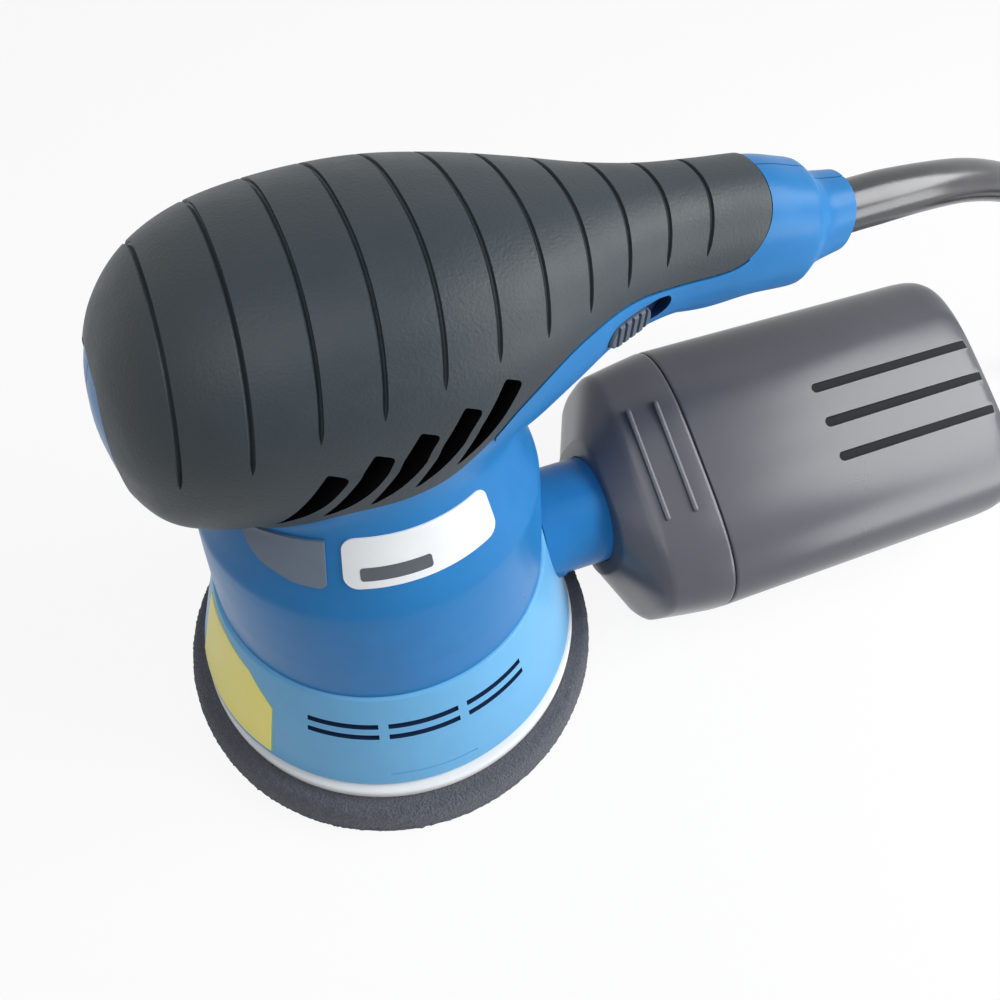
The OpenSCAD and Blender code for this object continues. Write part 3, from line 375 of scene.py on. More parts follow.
def rod(name, start, end, r, *mats, sides=40):
    return sweep(name, [start, end], [r, r], *mats, sides=sides)


def placed(ob, matrix):
    m = Matrix(matrix)
    m.translation *= MM
    ob.data.transform(m)
    return ob


# The body as a field: negative inside. GRIP rows: place along x, rise of the middle, half width, half height.
# BARREL rows: radius, height above its foot.
GRIP_Z, FOOT_Z, TAIL_X, TAIL_Z = 131.0, 50.0, 121.5, 126.5
GRIP = smooth([[-51.5, -8, 5, 6], [-49.5, -7.5, 13.5, 14], [-44.5, -5.5, 22, 21.3], [-36, -2.6, 28.3, 26],
               [-24, -0.6, 32.6, 28.6], [-8, 0, 34.5, 29.8], [10, 0, 34, 29.5], [27, 0, 30.5, 27], [42, 1, 24.5, 23],
               [56, 1.5, 18, 19.5], [69, 1, 14.5, 17.6], [82, 0, 13.4, 16.8], [96, -1.6, 13.4, 16.4],
               [105, -3.5, 13, 15.65], [107.9, -4.05, 12.8, 15.2], [108.8, -4.15, 12.45, 14.7],
               [112, -4.5, 10.55, 12.0], [113, -4.5, 10.15, 11.4], [115.5, -4.5, 9.6, 10.7],
               [121.5, -4.5, 8.8, 9.7]], 12)
BARREL = np.array([[44.6, 0], [44.0, 12], [43.1, 24], [42.5, 31], [42.1, 34.5], [41.85, 35.6], [41.45, 36.6],
                   [40.2, 39.5], [37.7, 46], [35.2, 53], [34.3, 56.5], [33.7, 60.5], [33.4, 65], [33.2, 76]])
EXPONENT = 2.25  # of the handle's oval sections
FAIRING, HUMP_FAIRING = 5, 4


def blend_min(a, b, k):
    h = np.clip(0.5 + 0.5 * (b - a) / k, 0, 1)
    return b * (1 - h) + a * h - k * h * (1 - h)


def ring_sizes(x):
    return [np.interp(x, GRIP[:, 0], GRIP[:, k]) for k in (1, 2, 3)]


def body(p):
    x, y, z = p[:, 0], p[:, 1], p[:, 2]
    dz, w, h = ring_sizes(x)
    up = z - GRIP_Z - dz
    q = np.maximum((np.abs(y / w) ** EXPONENT + np.abs(up / h) ** EXPONENT) ** (1 / EXPONENT), 1e-4)
    grip = np.maximum(np.maximum(np.hypot(y, up) * (1 - 1 / q), GRIP[0, 0] - x), x - TAIL_X - 3)
    r = np.interp(z - FOOT_Z, BARREL[:, 1], BARREL[:, 0])
    barrel = np.maximum(np.maximum(np.hypot(x, y) - r, z - FOOT_Z - BARREL[-1, 1]), FOOT_Z - 6 - z)
    hump = (np.sqrt(((x - 85) / 11.7) ** 2 + (y / 7.65) ** 2 + ((z - 117.4) / 4.95) ** 2) - 1) * 6
    return blend_min(blend_min(grip, barrel, FAIRING), hump, HUMP_FAIRING)


def slope(p, h=0.04):
    g = np.empty_like(p)
    for k in range(3):
        d = np.zeros(3)
        d[k] = h
        g[:, k] = (body(p + d) - body(p - d)) / (2 * h)
    return g


# Moves points along the slope until the field has the wanted level there
def settle(p, level=0.0, rounds=5):
    p = np.array(p, float)
    for _ in range(rounds):
        g = slope(p)
        m = np.maximum(np.linalg.norm(g, axis=1), 0.2)
        p -= g * np.clip((body(p) / m - level), -1.5, 1.5)[:, None] / m[:, None]
    return p


# A closed mesh of the body at a level: a net over a grid, drawn onto the field and evened out
def skin(name, level, step, *mats):
    low, high = np.array([-58.0, -50, 40]), np.array([130.0, 50, 168])
    n = np.ceil((high - low) / step).astype(int) + 1
    axes = [low[k] + step * np.arange(n[k]) for k in range(3)]
    inside = np.empty(n, bool)
    for i, x in enumerate(axes[0]):
        g = np.stack(np.meshgrid([x], axes[1], axes[2], indexing="ij"), -1).reshape(-1, 3)
        inside[i] = (body(g) < level).reshape(n[1], n[2])
    count = sum(inside[a:n[0] - 1 + a, b:n[1] - 1 + b, c:n[2] - 1 + c].astype(int)
                for a in (0, 1) for b in (0, 1) for c in (0, 1))
    mixed = (count > 0) & (count < 8)
    index = np.full(mixed.shape, -1)
    index[mixed] = np.arange(mixed.sum())
    verts = low + step * (np.argwhere(mixed) + 0.5)
    quads = []
    for k in range(3):
        order = (k, (k + 1) % 3, (k + 2) % 3)
        s, ix = np.transpose(inside, order), np.transpose(index, order)
        a, b = s[:-1, 1:-1, 1:-1], s[1:, 1:-1, 1:-1]
        for first, second, flip in ((a, ~b, False), (~a, b, True)):
            i, j, l = np.nonzero(first & second)
            q = np.stack([ix[i, j, l], ix[i, j + 1, l], ix[i, j + 1, l + 1], ix[i, j, l + 1]], 1)
            quads.append(q[:, ::-1] if flip else q)
    quads = np.concatenate(quads)
    verts = settle(verts, level)
    onward = np.roll(quads, -1, 1)
    here, there = np.concatenate([quads, onward]).ravel(), np.concatenate([onward, quads]).ravel()
    share = np.bincount(here, minlength=len(verts))[:, None]
    for _ in range(6):
        mean = np.stack([np.bincount(here, verts[there, k], len(verts)) for k in range(3)], 1) / share
        verts = settle(verts + 0.6 * (mean - verts), level, 2)
    return make(name, verts, quads.tolist(), *mats, close=False)


# Points on the body at an angle round the barrel's axis and a height
def on_barrel(angle, z, level):
    a = np.radians(angle)
    lo, hi = np.full(a.shape, 20.0), np.full(a.shape, 75.0)
    for _ in range(40):
        r = (lo + hi) / 2
        out = body(np.stack([r * np.cos(a), r * np.sin(a), z], 1)) > 0
        lo, hi = np.where(out, lo, r), np.where(out, r, hi)
    return settle(np.stack([lo * np.cos(a), lo * np.sin(a), z], 1), level, 3)


# Shapes seen from the side that the body and the rubber share
EDGE = smooth([[-62, -34], [-40, -31], [-30, -27], [-21, -19.5], [-12, -15], [0, -14], [9, -12.5], [17, -7.5],
               [24, -1], [34, 3.8], [45, 5.4], [57, 4], [69, 1.4], [80, 0], [86, 0.8], [90, 4.5], [92.8, 10.5],
               [93.6, 19], [93, 34]], 8) + [0, GRIP_Z]
VENT_LEAN = math.radians(57)
UNDER = -1.2  # level that the rubber lies on
RUBBER_PROUD = 0.35
RECESS_MARGIN = 0.55


def cover(name, margin, *mats):
    t = unit(np.gradient(EDGE, axis=0))
    edge = EDGE + margin * np.stack([t[:, 1], -t[:, 0]], 1)
    top = GRIP_Z + 42
    return prism(name, np.concatenate([edge, [[94, top], [-70, top], [-70, edge[0, 1]]]]), -60, 60, *mats)


def nose(name, grow, *mats):
    p = oblong(13.4 + grow, 18.4 + 1.35 * grow, 2, 64)
    return loft(name, [np.stack([np.full(64, x), p[:, 0], GRIP_Z - 6 + p[:, 1]], 1) for x in (-75, -48 + grow)], *mats)


def vents(name, *mats):
    c, s = math.cos(VENT_LEAN), math.sin(VENT_LEAN)
    obs = []
    for i in range(5):
        x, z = -13 + 9 * i, GRIP_Z - 0.5 + 1.9 * i
        flat = rounded([(0, -2.4, 1.6), (0, 2.4, 0.8), (-20.5, 2.4, 0.3), (-19.6, 1.5, 0.3), (-15, -0.7, 4),
                        (-9, -2.2, 5)], 0.2, 4)
        shape = np.stack([x + c * flat[:, 0] - s * flat[:, 1], z + s * flat[:, 0] + c * flat[:, 1]], 1)
        for y0, y1 in ((-60, -22), (22, 60)):
            obs.append(prism("vent", shape, y0, y1))
    return merged(name, obs, *mats)


def grooves(name, *mats):
    ends = smooth([[-62, -6], [-40, -0.5], [-16, 7], [20, 11.4], [50, 8.7], [75, 6], [100, 4]], 6)
    section = np.array([(-0.75, 0.6), (-0.52, 0.03), (-0.42, -0.2), (-0.34, -0.7), (0, -0.95), (0.3, -0.7),
                        (0.44, -0.3), (0.72, 0.02), (1.0, 0.6)])
    obs = []
    lean = math.tan(math.radians(13))
    for first in -34 + 11.4 * np.arange(11):
        a = np.radians(np.arange(-40, 220.1, 2))
        x = np.full(a.shape, first)
        for _ in range(6):
            dz, w, h = ring_sizes(x)
            y = w * np.sign(np.cos(a)) * np.abs(np.cos(a)) ** (2 / EXPONENT)
            z = GRIP_Z + dz + h * np.sign(np.sin(a)) * np.abs(np.sin(a)) ** (2 / EXPONENT)
            x = first + (z - GRIP_Z - 24) * lean
        p = np.stack([x, y, z], 1)[z > GRIP_Z + np.interp(x, ends[:, 0], ends[:, 1])]
        p = settle(p, RUBBER_PROUD, 3)
        n = unit(slope(p))
        s = np.cross(unit(np.gradient(p, axis=0)), n)
        run = np.concatenate([[0], np.cumsum(np.linalg.norm(np.diff(p, axis=0), axis=1))])
        fade = np.sqrt(np.clip(np.minimum(run, run[-1] - run) / 2.5, 0.02, 1))
        rings = [q + f * section[:, :1] * si + (np.where(section[:, 1:] < 0, f, 1) * section[:, 1:]) * ni
                 for q, f, si, ni in zip(p, fade, s, n)]
        obs.append(loft("groove", rings))
    return merged(name, obs, *mats)


# From the switch's own axes, with x along the slide and y into the handle, to the part's frame
SWITCH_AT, SWITCH_TURN = (56, -17.4, 127.5), math.radians(20)


def switch_frame(p):
    c, s = math.cos(SWITCH_TURN), math.sin(SWITCH_TURN)
    return np.stack([SWITCH_AT[0] + p[:, 0] * c - p[:, 1] * s, SWITCH_AT[1] + p[:, 0] * s + p[:, 1] * c,
                     SWITCH_AT[2] + p[:, 2]], 1)


def across_switch(line, depths):
    return [switch_frame(np.stack([line[:, 0], np.full(len(line), y), line[:, 1]], 1)) for y in depths]


def capsule(x0, x1, half, steps=14):
    a = np.linspace(-np.pi / 2, np.pi / 2, steps)
    right = np.stack([x1 - half + half * np.cos(a), half * np.sin(a)], 1)
    left = np.stack([x0 + half - half * np.cos(a), -half * np.sin(a)], 1)
    return np.concatenate([right, left])


JOINT_SCREWS = [(-34.5, 75), (34.5, 75), (34, 109), (75, 122), (-36, 139)]
SCREW_SEAT_Y, WELL_R = 6.5, 3.7


def screw_wells(name, *mats):
    return merged(name, [rod("well", (x, SCREW_SEAT_Y, z), (x, 60, z), WELL_R) for x, z in JOINT_SCREWS], *mats)


HALF_SEAM = 0.17  # half the gap between the housing halves


def build_body():
    outer = skin("outer", 0.0, 0.9, BLUE)
    frame_box = prism("ends", [(-80, FOOT_Z), (TAIL_X, FOOT_Z), (TAIL_X, 200), (-80, 200)], -80, 80, BLUE)
    join(outer, frame_box, "INTERSECT")
    under = skin("under", UNDER, 1.4)
    # The recess under the rubber is black: painted shade in the gap round the rubber's edge
    recess = cover("recess", RECESS_MARGIN, SHADE_BLACK)
    join(recess, nose("nose", -0.1))
    join(recess, under, keep=True)
    join(outer, recess)
    lip = cover("lip", 1.9, BLUE)
    join(lip, cover("inner", RECESS_MARGIN))
    join(lip, prism("stretch", [(19, 100), (88, 100), (88, 150), (19, 150)], -60, 60), "INTERSECT")
    join(lip, skin("proud", 0.45, 0.9, BLUE), "INTERSECT")
    join(lip, under, keep=True)
    join(outer, lip, "UNION")
    # The hollow inside is painted black as painted shade
    join(outer, skin("cavity", -4.8, 1.8, SHADE_BLACK))
    # The vents stop at a shallow black floor, painted shade in place of an opening into the housing
    openings = vents("openings", SHADE_BLACK)
    join(openings, cover("limit", -1.5), "INTERSECT")
    join(openings, skin("floor", -4.2, 1.8))
    join(outer, openings, keep=True)
    # Pocket, screw wells and tail bore take the darkened blue of painted shade
    join(outer, loft("pocket", across_switch(capsule(-6.8, 12.8, 3.3), (-12, 1.6)), SHADED_RECESS_BLUE))
    join(outer, screw_wells("wells", SHADED_RECESS_BLUE))
    join(outer, rod("bore", (100, 0, TAIL_Z), (130, 0, TAIL_Z), 6.6, SHADED_RECESS_BLUE))
    for name, y0, y1 in (("left", -90, -HALF_SEAM), ("right", HALF_SEAM, 90)):
        half = outer.copy()
        half.data = outer.data.copy()
        half.name = "housing_" + name
        SCENE.collection.objects.link(half)
        join(half, prism("side", [(-90, 0), (140, 0), (140, 220), (-90, 220)], y0, y1, BLUE), "INTERSECT")
        dress(half, "housing", "housing_blue", name + "_housing")
    drop(outer)
    grip = skin("grip_rubber", RUBBER_PROUD, 0.9, RUBBER)
    join(grip, cover("limit", 0.0, RUBBER), "INTERSECT")
    join(grip, nose("nose", 0.1, RUBBER))
    join(grip, under)
    join(grip, openings)
    join(grip, screw_wells("wells", RUBBER))
    join(grip, grooves("grooves", RUBBER))
    dress(grip, "housing", "grip_rubber", "grip_cover")


# Labels and thumb pads laid on the body
def patch(name, rows, level, thick, *mats):
    outer, inner = ([on_barrel(a, z, at) for a, z in rows] for at in (level, level - thick))
    return slab(name, outer, inner, *mats)


# Rows of angles and heights that fill a rectangle with round corners
def round_rows(a0, a1, z0, z1, radius, per_degree, rows=18, columns=44):
    out = []
    half, mid = (z1 - z0) / 2, (z0 + z1) / 2
    for v in -np.cos(np.linspace(0, np.pi, rows)):
        z = v * half
        over = abs(z) - (half - radius)
        pull = radius - math.sqrt(max(radius ** 2 - over ** 2, 0)) if over > 0 else 0
        a = np.linspace(a0 + pull / per_degree, a1 - pull / per_degree, columns)
        out.append((a, np.full(columns, mid + z)))
    return out


def build_marks():
    plate = patch("label_plate", round_rows(244.5, 300.5, 93.5, 106.5, 3.2, 0.64), 0.35, 0.5, WHITE)
    dress(plate, "housing", "label_white", "rating_plate", angle=50)
    bar = patch("label_bar", round_rows(250, 274, 95.4, 98.8, 0.7, 0.66, 8, 24), 0.4, 0.2, BAR)
    dress(bar, "housing", "label_white", angle=50)
    for side, name in ((1, "left"), (-1, "right")):
        rows = []
        for t in np.linspace(0, 1, 14):
            a = np.linspace(207, 239, 34)
            low = np.interp(a, [207, 211, 216, 228, 237.5, 239], [100.5, 97.4, 95.4, 93.4, 93.2, 94.2])
            high = np.interp(a, [207, 239], [103.5, 105.5])
            rows.append((side * a, low + (high - low) * t))
        pad = patch("thumb_pad_" + name, rows, 0.6, 0.9, THUMB_SHEEN)
        dress(pad, "housing", "thumb_rubber", *(["thumb_pads"] if side > 0 else []), angle=50)


# Skirt, spout and sticker
ON_SPOUT = Matrix.Rotation(math.radians(-2.5), 4, "Z") @ Matrix.Translation((0, 0, 35.5))
ON_BOX = ON_SPOUT @ Matrix.Rotation(math.radians(24), 4, "X")
SKIRT_LOW_R, SKIRT_LOW_Z, SKIRT_TOP_Z, SKIRT_ROOF_Z, SKIRT_WALL = 55.5, 16, 49.9, 47.5, 2.4
SPOUT_START, SPOUT_R = 44.85, 16.5


def skirt_r(z):
    return SKIRT_LOW_R - 10 * (z - SKIRT_LOW_Z) / 34


def arc_block(name, r0, r1, z0, z1, mid, span, *mats):
    a = np.radians(np.linspace(mid - span / 2, mid + span / 2, 24))
    line = np.concatenate([np.stack([r1 * np.cos(a), r1 * np.sin(a)], 1),
                           np.stack([r0 * np.cos(a[::-1]), r0 * np.sin(a[::-1])], 1)])
    return loft(name, [np.column_stack([line, np.full(len(line), z)]) for z in (z0, z1)], *mats)


def build_skirt():
    roof_r = skirt_r(SKIRT_ROOF_Z) - SKIRT_WALL
    profile = rounded([(52.9, SKIRT_LOW_Z, 0.4), (SKIRT_LOW_R, SKIRT_LOW_Z, 0.9),
                       (skirt_r(SKIRT_TOP_Z), SKIRT_TOP_Z, 0.9), (32, SKIRT_TOP_Z, 0.3), (32, SKIRT_ROOF_Z, 0.3),
                       (roof_r, SKIRT_ROOF_Z, 1.5)], 0.5)
    # The skirt shell takes the lighter blue of painted light; the spout keeps the housing blue
    ring = round_loft("skirt_shell", level_rings(profile, 256), LIT_SKIRT_BLUE)
    spout = placed(rod("spout", (SPOUT_START, 0, 0), (80, 0, 0), SPOUT_R, BLUE, sides=96), ON_SPOUT)
    hollow = round_loft("hollow", level_rings([(20, 10), (skirt_r(10) - SKIRT_WALL, 10), (roof_r, SKIRT_ROOF_Z),
                                               (20, SKIRT_ROOF_Z)], 192))
    collar = rod("collar", (SPOUT_START, 0, 0), (51, 0, 0), SPOUT_R + 0.7, BLUE, sides=96)
    join(spout, placed(collar, ON_SPOUT), "UNION")
    join(ring, spout, "UNION")
    join(ring, hollow)
    bore = sweep("bore", [(40, 0, 0), (79.2, 0, 0), (82, 0, 0)], [14.1, 14.1, 16.2], sides=96)
    join(ring, placed(bore, ON_SPOUT))
    join(ring, placed(along_x("groove", [(74.15, 15), (74.15, 18), (75.85, 18), (75.85, 15)]), ON_SPOUT))
    slots = [arc_block("slot", 35, 60, z, z + 1.8, side * mid, 22) for side in (-1, 1) for mid in (72, 97, 122)
             for z in (35, 39)]
    # The slots take the darkened blue of painted shade
    join(ring, merged("slots", slots, SHADED_RECESS_BLUE))
    join(ring, arc_block("line", skirt_r(20.5) - 0.35, 60, 20.2, 20.8, 264, 26, LIT_SKIRT_BLUE))
    dress(ring, "housing", "skirt_blue", "skirt", angle=40)
    a = np.linspace(172.5, 214.5, 40)
    low, high = 18.2, np.interp(a, [172, 190, 204, 215], [46.5, 46.5, 44.2, 36.0])
    heights = [low + (high - low) * t for t in np.linspace(0, 1, 16)]
    c, s = np.cos(np.radians(a)), np.sin(np.radians(a))
    outer, inner = ([np.stack([(skirt_r(z) + up) * c, (skirt_r(z) + up) * s, z], 1) for z in heights]
                    for up in (0.3, -0.2))
    dress(slab("sticker", outer, inner, YELLOW), "housing", "label_yellow", "side_sticker", angle=50)


# Pad stack, at rest off the motor's axis by the orbit
PAD_Y = -2.0
DUST_HOLES, SCREW_HOLES = 22.5 + 45 * np.arange(8), 45 + 90 * np.arange(4)


def pad_holes(low, screw_r):
    obs = []
    for angles, out, r, sides in ((DUST_HOLES, 32.5, 5, 32), (SCREW_HOLES, 12, screw_r, 24)):
        for a in np.radians(angles):
            x, y = out * math.cos(a), PAD_Y + out * math.sin(a)
            obs.append(rod("hole", (x, y, low), (x, y, 20), r, sides=sides))
    return merged("holes", obs)


def disc(name, profile, mat, sides):
    return loft(name, level_rings(profile, sides, PAD_Y), mat)


def build_pads():
    plate = disc("pad_plate", [(30, 11), (54.9, 11), (55.3, 11.3), (55.5, 11.8), (55.5, 14.2), (55.2, 14.7), (54.6, 15),
                               (30, 15)], PLATE, 360)
    join(plate, pad_holes(5, 2.1))
    dress(plate, "pad", "plate_white", "backing_plate")
    rim = smooth([(60.9, 2.0), (61.5, 2.5), (61.6, 4), (61.5, 6.5), (61.0, 8.6), (60.2, 10.2), (59.2, 11)], 4)
    foam = disc("foam", [(30, 2), (50, 2), (58, 2), *rim, (58, 11), (50, 11), (30, 11)], FOAM, 480)
    fuzz(foam, 61.6, 0.22, 3)
    join(foam, pad_holes(-5, 4.1))
    dress(foam, "pad", "pad_foam", "foam_pad", angle=60)
    rim = smooth([(60.6, 0.05), (61.3, 0.4), (61.5, 1.0), (61.3, 1.7), (60.8, 1.98)], 3)
    loops = disc("loops", [(30, 0.05), (50, 0.05), *rim, (50, 1.98), (30, 1.98)], LOOPS, 480)
    fuzz(loops, 61.5, 0.25, 7)
    join(loops, pad_holes(-5, 4.1))
    dress(loops, "pad", "loop_fabric", "loop_facing", angle=60)


# Roughens the outer edge of a pad
def fuzz(ob, radius, size, seed):
    rng = np.random.default_rng(seed)
    mid = PAD_Y * MM
    for v in ob.data.vertices:
        if math.hypot(v.co.x, v.co.y - mid) / MM > radius - 2.6:
            k = 1 + size * rng.normal() * 0.5 / radius
            v.co.x *= k
            v.co.y = (v.co.y - mid) * k + mid
            if 0.3 < v.co.z / MM < 10.6:
                v.co.z += size * rng.normal() * 0.15 * MM


# Dust box on its spout, along x of the spout's own axes
BOX_HALF_W, BOX_HALF_H, BOX_SIDES = 41, 27, 128


def box_ring(x, inset_w, inset_h):
    p = oblong(BOX_HALF_W - inset_w, BOX_HALF_H - inset_h, 3.3, BOX_SIDES)
    return np.stack([np.full(BOX_SIDES, x), p[:, 0], p[:, 1]], 1)


def even_box(name, rows, *mats):
    return loft(name, [box_ring(x, inset, inset) for x, inset in rows], *mats)


def channel(x0, x1, half, u, side, *mats):
    rings = []
    for v, grow in ((25.9, 0), (26.6, 0.05), (27.25, 0.6), (30, 3)):
        line = capsule(x0 - grow, x1, half + grow, 10) + [0, u]
        rings.append(np.column_stack([line, np.full(len(line), side * v)]))
    return loft("channel", rings, *mats)


def build_box():
    shell = loft("cap_shell", [box_ring(*s) for s in (
        (65.5, 20.6, 8.0), (65.7, 20.1, 7.5), (66.2, 19.3, 7.2), (72.2, 5.4, 3.3), (73.0, 4.3, 2.9), (73.8, 3.4, 2.5),
        (74.6, 2.75, 2.15), (76, 2.5, 1.95), (84, 1.2, 0.95), (91.8, 0.08, 0.05), (92.5, 0.1, 0.1), (92.8, 0.3, 0.3),
        (92.9, 0.7, 0.7))], BOX)
    ribs = []
    for x in (77, 85.4):
        inset = 2.2 * (93 - x) / 18.5
        line = rounded([(x, -13), (x + 1.7, -13), (x + 1.7, 21), (x, 21)], 0.8, 5)
        mid = line.mean(0)
        for side in (-1, 1):
            rings = []
            for v, shrink in ((-1.2, 0), (0.45, 0), (0.7, 0.12), (0.82, 0.34)):
                ring = mid + (line - mid) * (1 - shrink * np.array([1.1, 0.055]))
                rings.append(np.column_stack([ring, np.full(len(ring), side * (BOX_HALF_H - inset + v))]))
            ribs.append(loft("rib", rings))
    join(shell, merged("ribs", ribs, BOX), "UNION")
    join(shell, loft("hollow", [box_ring(*s) for s in (
        (68.5, 19, 8.5), (74.5, 6.5, 5), (76.5, 4.8, 4.4), (94, 2.2, 2.2))], BOX_GROOVE_SHADE))
    socket = along_x("socket", [(67, 16.8), (67, 19), (81, 19), (81, 16.8)], BOX)
    join(shell, socket, "UNION")
    join(shell, rod("way", (60, 0, 0), (92, 0, 0), 16.75, BOX_GROOVE_SHADE, sides=96))
    dress(placed(shell, ON_BOX), "cap", "box_grey", "dust_cap")
    tub = even_box("container_shell", (
        (93.2, 0.75), (93.3, 0.35), (93.6, 0.1), (94.2, 0), (140, 0.15), (186, 0.35), (190, 0.6), (192.5, 1.1),
        (194.3, 1.9), (195.6, 3.1), (196.5, 4.6), (197, 6.6), (197.1, 9)), BOX)
    join(tub, even_box("lip", ((87, 3.9), (87.3, 3.65), (88, 3.5), (96, 2.5)), BOX), "UNION")
    join(tub, even_box("hollow", ((86, 5.6), (94, 4.4), (97, 2.2), (189, 2.8), (194.8, 7)), BOX_GROOVE_SHADE))
    # The grooves take the darkened grey of painted shade
    cuts = [channel(135, 215, 1.3, u, side) for u in (-11, 0, 11) for side in (-1, 1)]
    join(tub, merged("channels", cuts, BOX_GROOVE_SHADE))
    dress(placed(tub, ON_BOX), "container", "box_grey", "dust_container")


# Slide knob
KNOB_HALF = 6.5


def build_knob():
    rings = []
    for y, shrink in ((1.5, 0.1), (1.2, 0), (-0.6, 0), (-1.1, 0.15), (-1.4, 0.5)):
        rings += across_switch(capsule(-KNOB_HALF + shrink, KNOB_HALF - shrink, 3 - shrink), [y])
    knob = loft("knob", rings, KNOB)
    cuts = []
    for i in range(1, 6):
        x = -KNOB_HALF + i * 2 * KNOB_HALF / 6
        wedge = np.array([(x - 0.65, -2), (x - 0.3, -0.75), (x + 0.3, -0.75), (x + 0.65, -2)])
        cuts.append(loft("cut", [switch_frame(np.column_stack([wedge, np.full(4, z)])) for z in (-5, 5)]))
    join(knob, merged("cuts", cuts, KNOB))
    stem = np.array([(-2.5, -2), (2, -2), (2, 2), (-2.5, 2)])
    join(knob, loft("stem", across_switch(stem, (0.5, 4.4)), KNOB), "UNION")
    dress(knob, "switch_slider", "knob_grey", "switch_knob")


# Cord: the route of the CAD cord, then the turns of the stored coil, its plug and its tie
BOOT_ROUTE = [[105, 0, 126.5], [122, 0, 126.5], [136, 0, 126.5], [150, 0, 125.8], [164, 1, 123.3], [176, 2, 119.6],
              [187, 3, 115]]
FREE_ROUTE = [[201, 4, 107.5], [214, 5, 97.5], [225, 6, 85.5], [234, 7, 72], [242, 8, 57.5], [250, 9, 42.5],
              [259, 10, 26.5], [268, 11, 14.5], [278, 11, 6.8], [289, 11, 3.9], [299, 11, 3.5]]
COIL = np.array([299 + math.sqrt(50.5 ** 2 - 43.5 ** 2) + 0.3, -36.0])
COIL_RADII = np.array([47, 40, 33, 33, 40, 47, 47.0])
CORD_R = 3.5
PLUG_X, PLUG_Z = COIL[0] + 30, 22.3


def coil_turns():
    t = np.linspace(0, 6, 481)
    k = np.minimum(t.astype(int), 5)
    part = t - k
    start = np.where(k < 2, 0.68, 0.56)
    r = COIL_RADII[k] + (COIL_RADII[k + 1] - COIL_RADII[k]) * ease((part - start) / 0.32)
    z = CORD_R + 2 * CORD_R * (ease((t - 2.54) / 0.3) + ease((t - 5.42) / 0.32))
    a = np.radians(90 - 360 * t)
    turns = np.stack([COIL[0] + r * np.cos(a), COIL[1] + r * np.sin(a), z], 1)
    b = np.radians(np.linspace(90, 0, 25)[1:])
    rise = ease(np.linspace(0.04, 1, 24))
    last = np.stack([COIL[0] + 30 * np.cos(b), COIL[1] + 17 + 30 * np.sin(b), 17.5 + 4.8 * rise], 1)
    neck = np.array([[PLUG_X, COIL[1] + y, PLUG_Z] for y in (14, 11, 8, 4)])
    return np.concatenate([turns, last, neck])


def build_cord():
    route = smooth(BOOT_ROUTE + FREE_ROUTE, 6)
    split = 6 * (len(BOOT_ROUTE) - 1)
    run_in = np.stack([np.linspace(303, COIL[0] - 4, 6), np.full(6, 11.0), np.full(6, CORD_R)], 1)
    path = np.concatenate([route[split:], run_in, coil_turns()])
    data = bpy.data.curves.new("cord", "CURVE")
    data.dimensions = "3D"
    data.bevel_depth = CORD_R * MM
    data.bevel_resolution = 4
    data.use_fill_caps = True
    line = data.splines.new("POLY")
    line.points.add(len(path) - 1)
    line.points.foreach_set("co", np.column_stack([path * MM, np.ones(len(path))]).ravel())
    data.materials.append(CORD)
    cord = bpy.data.objects.new("cord", data)
    SCENE.collection.objects.link(cord)
    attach(cord, "housing")
    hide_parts("cord_tube", "cord_coil")
    boot_path = route[:split + 1]
    radii = np.interp(np.arange(len(boot_path)) / 6, range(7), [6.5, 6.5, 6.5, 6.0, 5.6, 5.2, 4.8])
    radii[-1] -= 0.6
    boot = sweep("boot", boot_path, radii, CORD, sides=32)
    dress(boot, "housing", "cord_rubber", "cord_boot")
    plug = build_plug()
    tie = build_tie()


def build_plug():
    plan = smooth([(0, 5), (10, 5.5), (20, 8.5), (28, 15), (33, 17.2), (38, 17.5), (44, 17.4)], 5)
    side = np.array([(0, 5), (20, 6), (30, 8.0), (36, 8.2), (45, 8.2)])
    rings = []
    for s, w in np.concatenate([plan, [(44.7, 17.0), (45, 16.2)]]):
        h = np.interp(s, side[:, 0], side[:, 1]) - (0.4 if s > 44.5 else 0)
        e = 2 + 1.6 * float(ease((s - 8) / 20))
        p = oblong(w, h, e, 64)
        rings.append(np.stack([PLUG_X + p[:, 0], np.full(64, COIL[1] + 5 - s), PLUG_Z + p[:, 1]], 1))
    plug = loft("plug", rings, PLUG)
    dress(plug, "housing", "black_plastic", "plug_body")
    return plug


def build_tie():
    w = 11.0
    ring = rounded([(-w - 1.4, 0.0), (w + 1.4, 0.0), (w + 1.4, 15.6), (-w - 1.4, 15.6)], 3, 6)
    inner = rounded([(-w, 0.9), (w, 0.9), (w, 14.2), (-w, 14.2)], 2, 6)
    rings = []
    for line, y in ((inner, -3.8), (ring, -4), (ring, 4), (inner, 3.8)):
        rings.append(np.stack([COIL[0] - 40 + line[:, 0], np.full(len(line), COIL[1] + y), line[:, 1]], 1))
    tie = round_loft("tie", rings, TIE)
    dress(tie, "housing", "tie_grey", "cord_tie")
    return tie


# Inner parts keep their CAD solids and get the finish of their slot
def paint_nodes():
    for row in frame["record"]["subparts"]:
        ob = frame["nodes"][row["node"]]
        ob.data.materials.clear()
        ob.data.materials.append(SLOTS[row["material_slot"]])


# Floor, world and lamps. The camera and reflections see a white ground, which adds no light
FLOOR_HALF, FLOOR_GLOW, WORLD_LIGHT = 3000, 0.9, 0.18
LAMPS = (("low", (430, -380, 90), (40, 0, 70), 300, 1.4), ("side", (560, -220, 480), (60, 0, 70), 420, 3.9),
         ("top", (-200, -300, 820), (40, 0, 60), 600, 2.3))


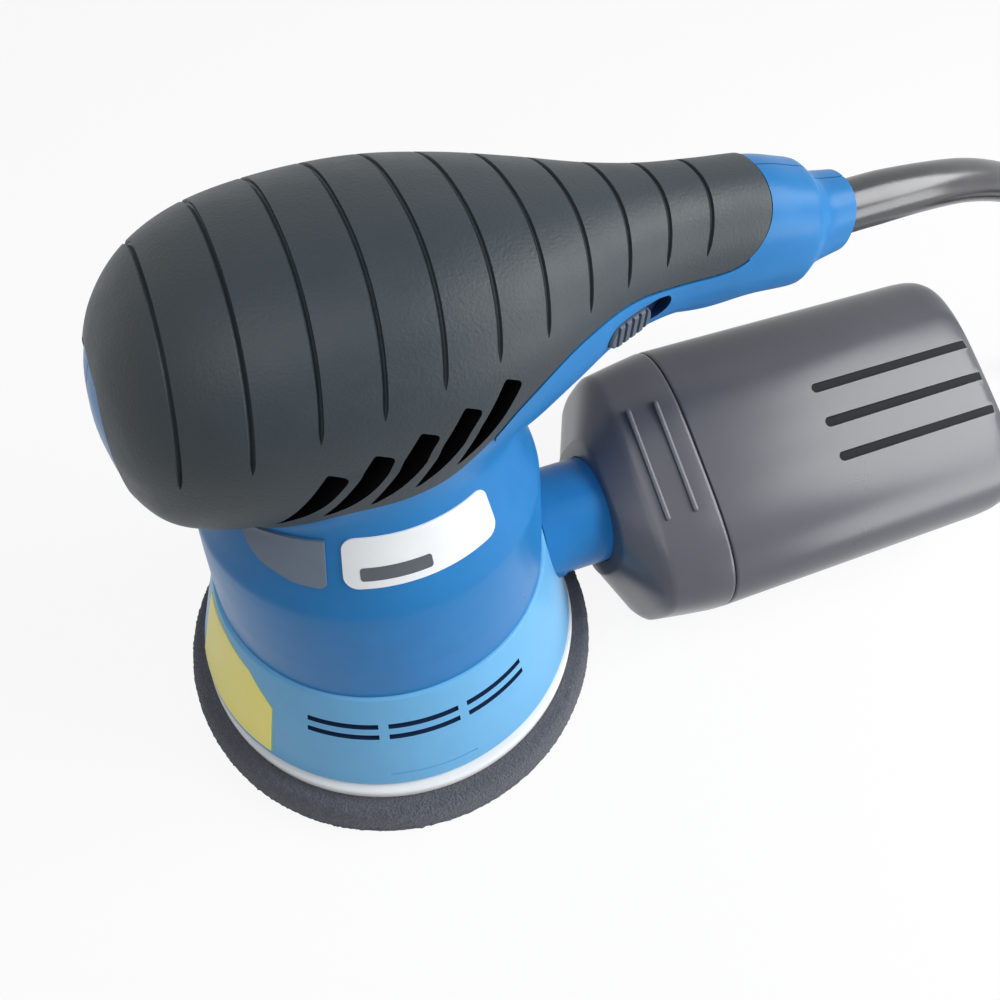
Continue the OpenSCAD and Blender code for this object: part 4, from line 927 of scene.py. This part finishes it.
def plain_rays(nodes, link):
    ray = nodes.new("ShaderNodeLightPath")
    a, b = nodes.new("ShaderNodeMath"), nodes.new("ShaderNodeMath")
    a.operation = b.operation = "MAXIMUM"
    link(ray.outputs["Is Camera Ray"], a.inputs[0])
    link(ray.outputs["Is Glossy Ray"], a.inputs[1])
    link(a.outputs[0], b.inputs[0])
    link(ray.outputs["Is Transmission Ray"], b.inputs[1])
    return b.outputs[0]


def build_stage():
    corners = [(x * FLOOR_HALF, y * FLOOR_HALF, 0) for x, y in ((-1, -1), (1, -1), (1, 1), (-1, 1))]
    floor = make("floor", corners, [(0, 1, 2, 3)], close=False)
    m = bpy.data.materials.new("floor")
    m.use_nodes = True
    nodes, link = m.node_tree.nodes, m.node_tree.links.new
    shader = nodes["Principled BSDF"]
    shader.inputs["Base Color"].default_value = (0.86, 0.86, 0.86, 1)
    shader.inputs["Roughness"].default_value = 0.9
    shader.inputs["Specular IOR Level"].default_value = 0.1
    glow = nodes.new("ShaderNodeEmission")
    glow.inputs["Color"].default_value = (1, 1, 1, 1)
    seen = nodes.new("ShaderNodeMath")
    seen.operation = "MULTIPLY"
    seen.inputs[1].default_value = FLOOR_GLOW
    mix = nodes.new("ShaderNodeMixShader")
    link(plain_rays(nodes, link), seen.inputs[0])
    link(seen.outputs[0], mix.inputs[0])
    link(shader.outputs[0], mix.inputs[1])
    link(glow.outputs[0], mix.inputs[2])
    link(mix.outputs[0], nodes["Material Output"].inputs["Surface"])
    floor.data.materials.append(m)
    world = bpy.data.worlds.new("world")
    SCENE.world = world
    world.use_nodes = True
    nodes, link = world.node_tree.nodes, world.node_tree.links.new
    back = nodes["Background"]
    back.inputs["Color"].default_value = (1, 1, 1, 1)
    level = nodes.new("ShaderNodeMapRange")
    level.inputs["To Min"].default_value = WORLD_LIGHT
    level.inputs["To Max"].default_value = 1.0
    link(plain_rays(nodes, link), level.inputs["Value"])
    link(level.outputs["Result"], back.inputs["Strength"])
    for name, at, to, size, power in LAMPS:
        data = bpy.data.lights.new(name, "AREA")
        data.shape = "SQUARE"
        data.size = size * MM
        data.energy = power
        lamp = bpy.data.objects.new(name, data)
        at, to = Vector(at) * MM, Vector(to) * MM
        lamp.location = at
        lamp.rotation_euler = (to - at).to_track_quat("-Z", "Y").to_euler()
        SCENE.collection.objects.link(lamp)


aim_camera()
paint_nodes()
build_cord()
build_body()
build_marks()
build_skirt()
build_pads()
build_box()
build_knob()
build_stage()
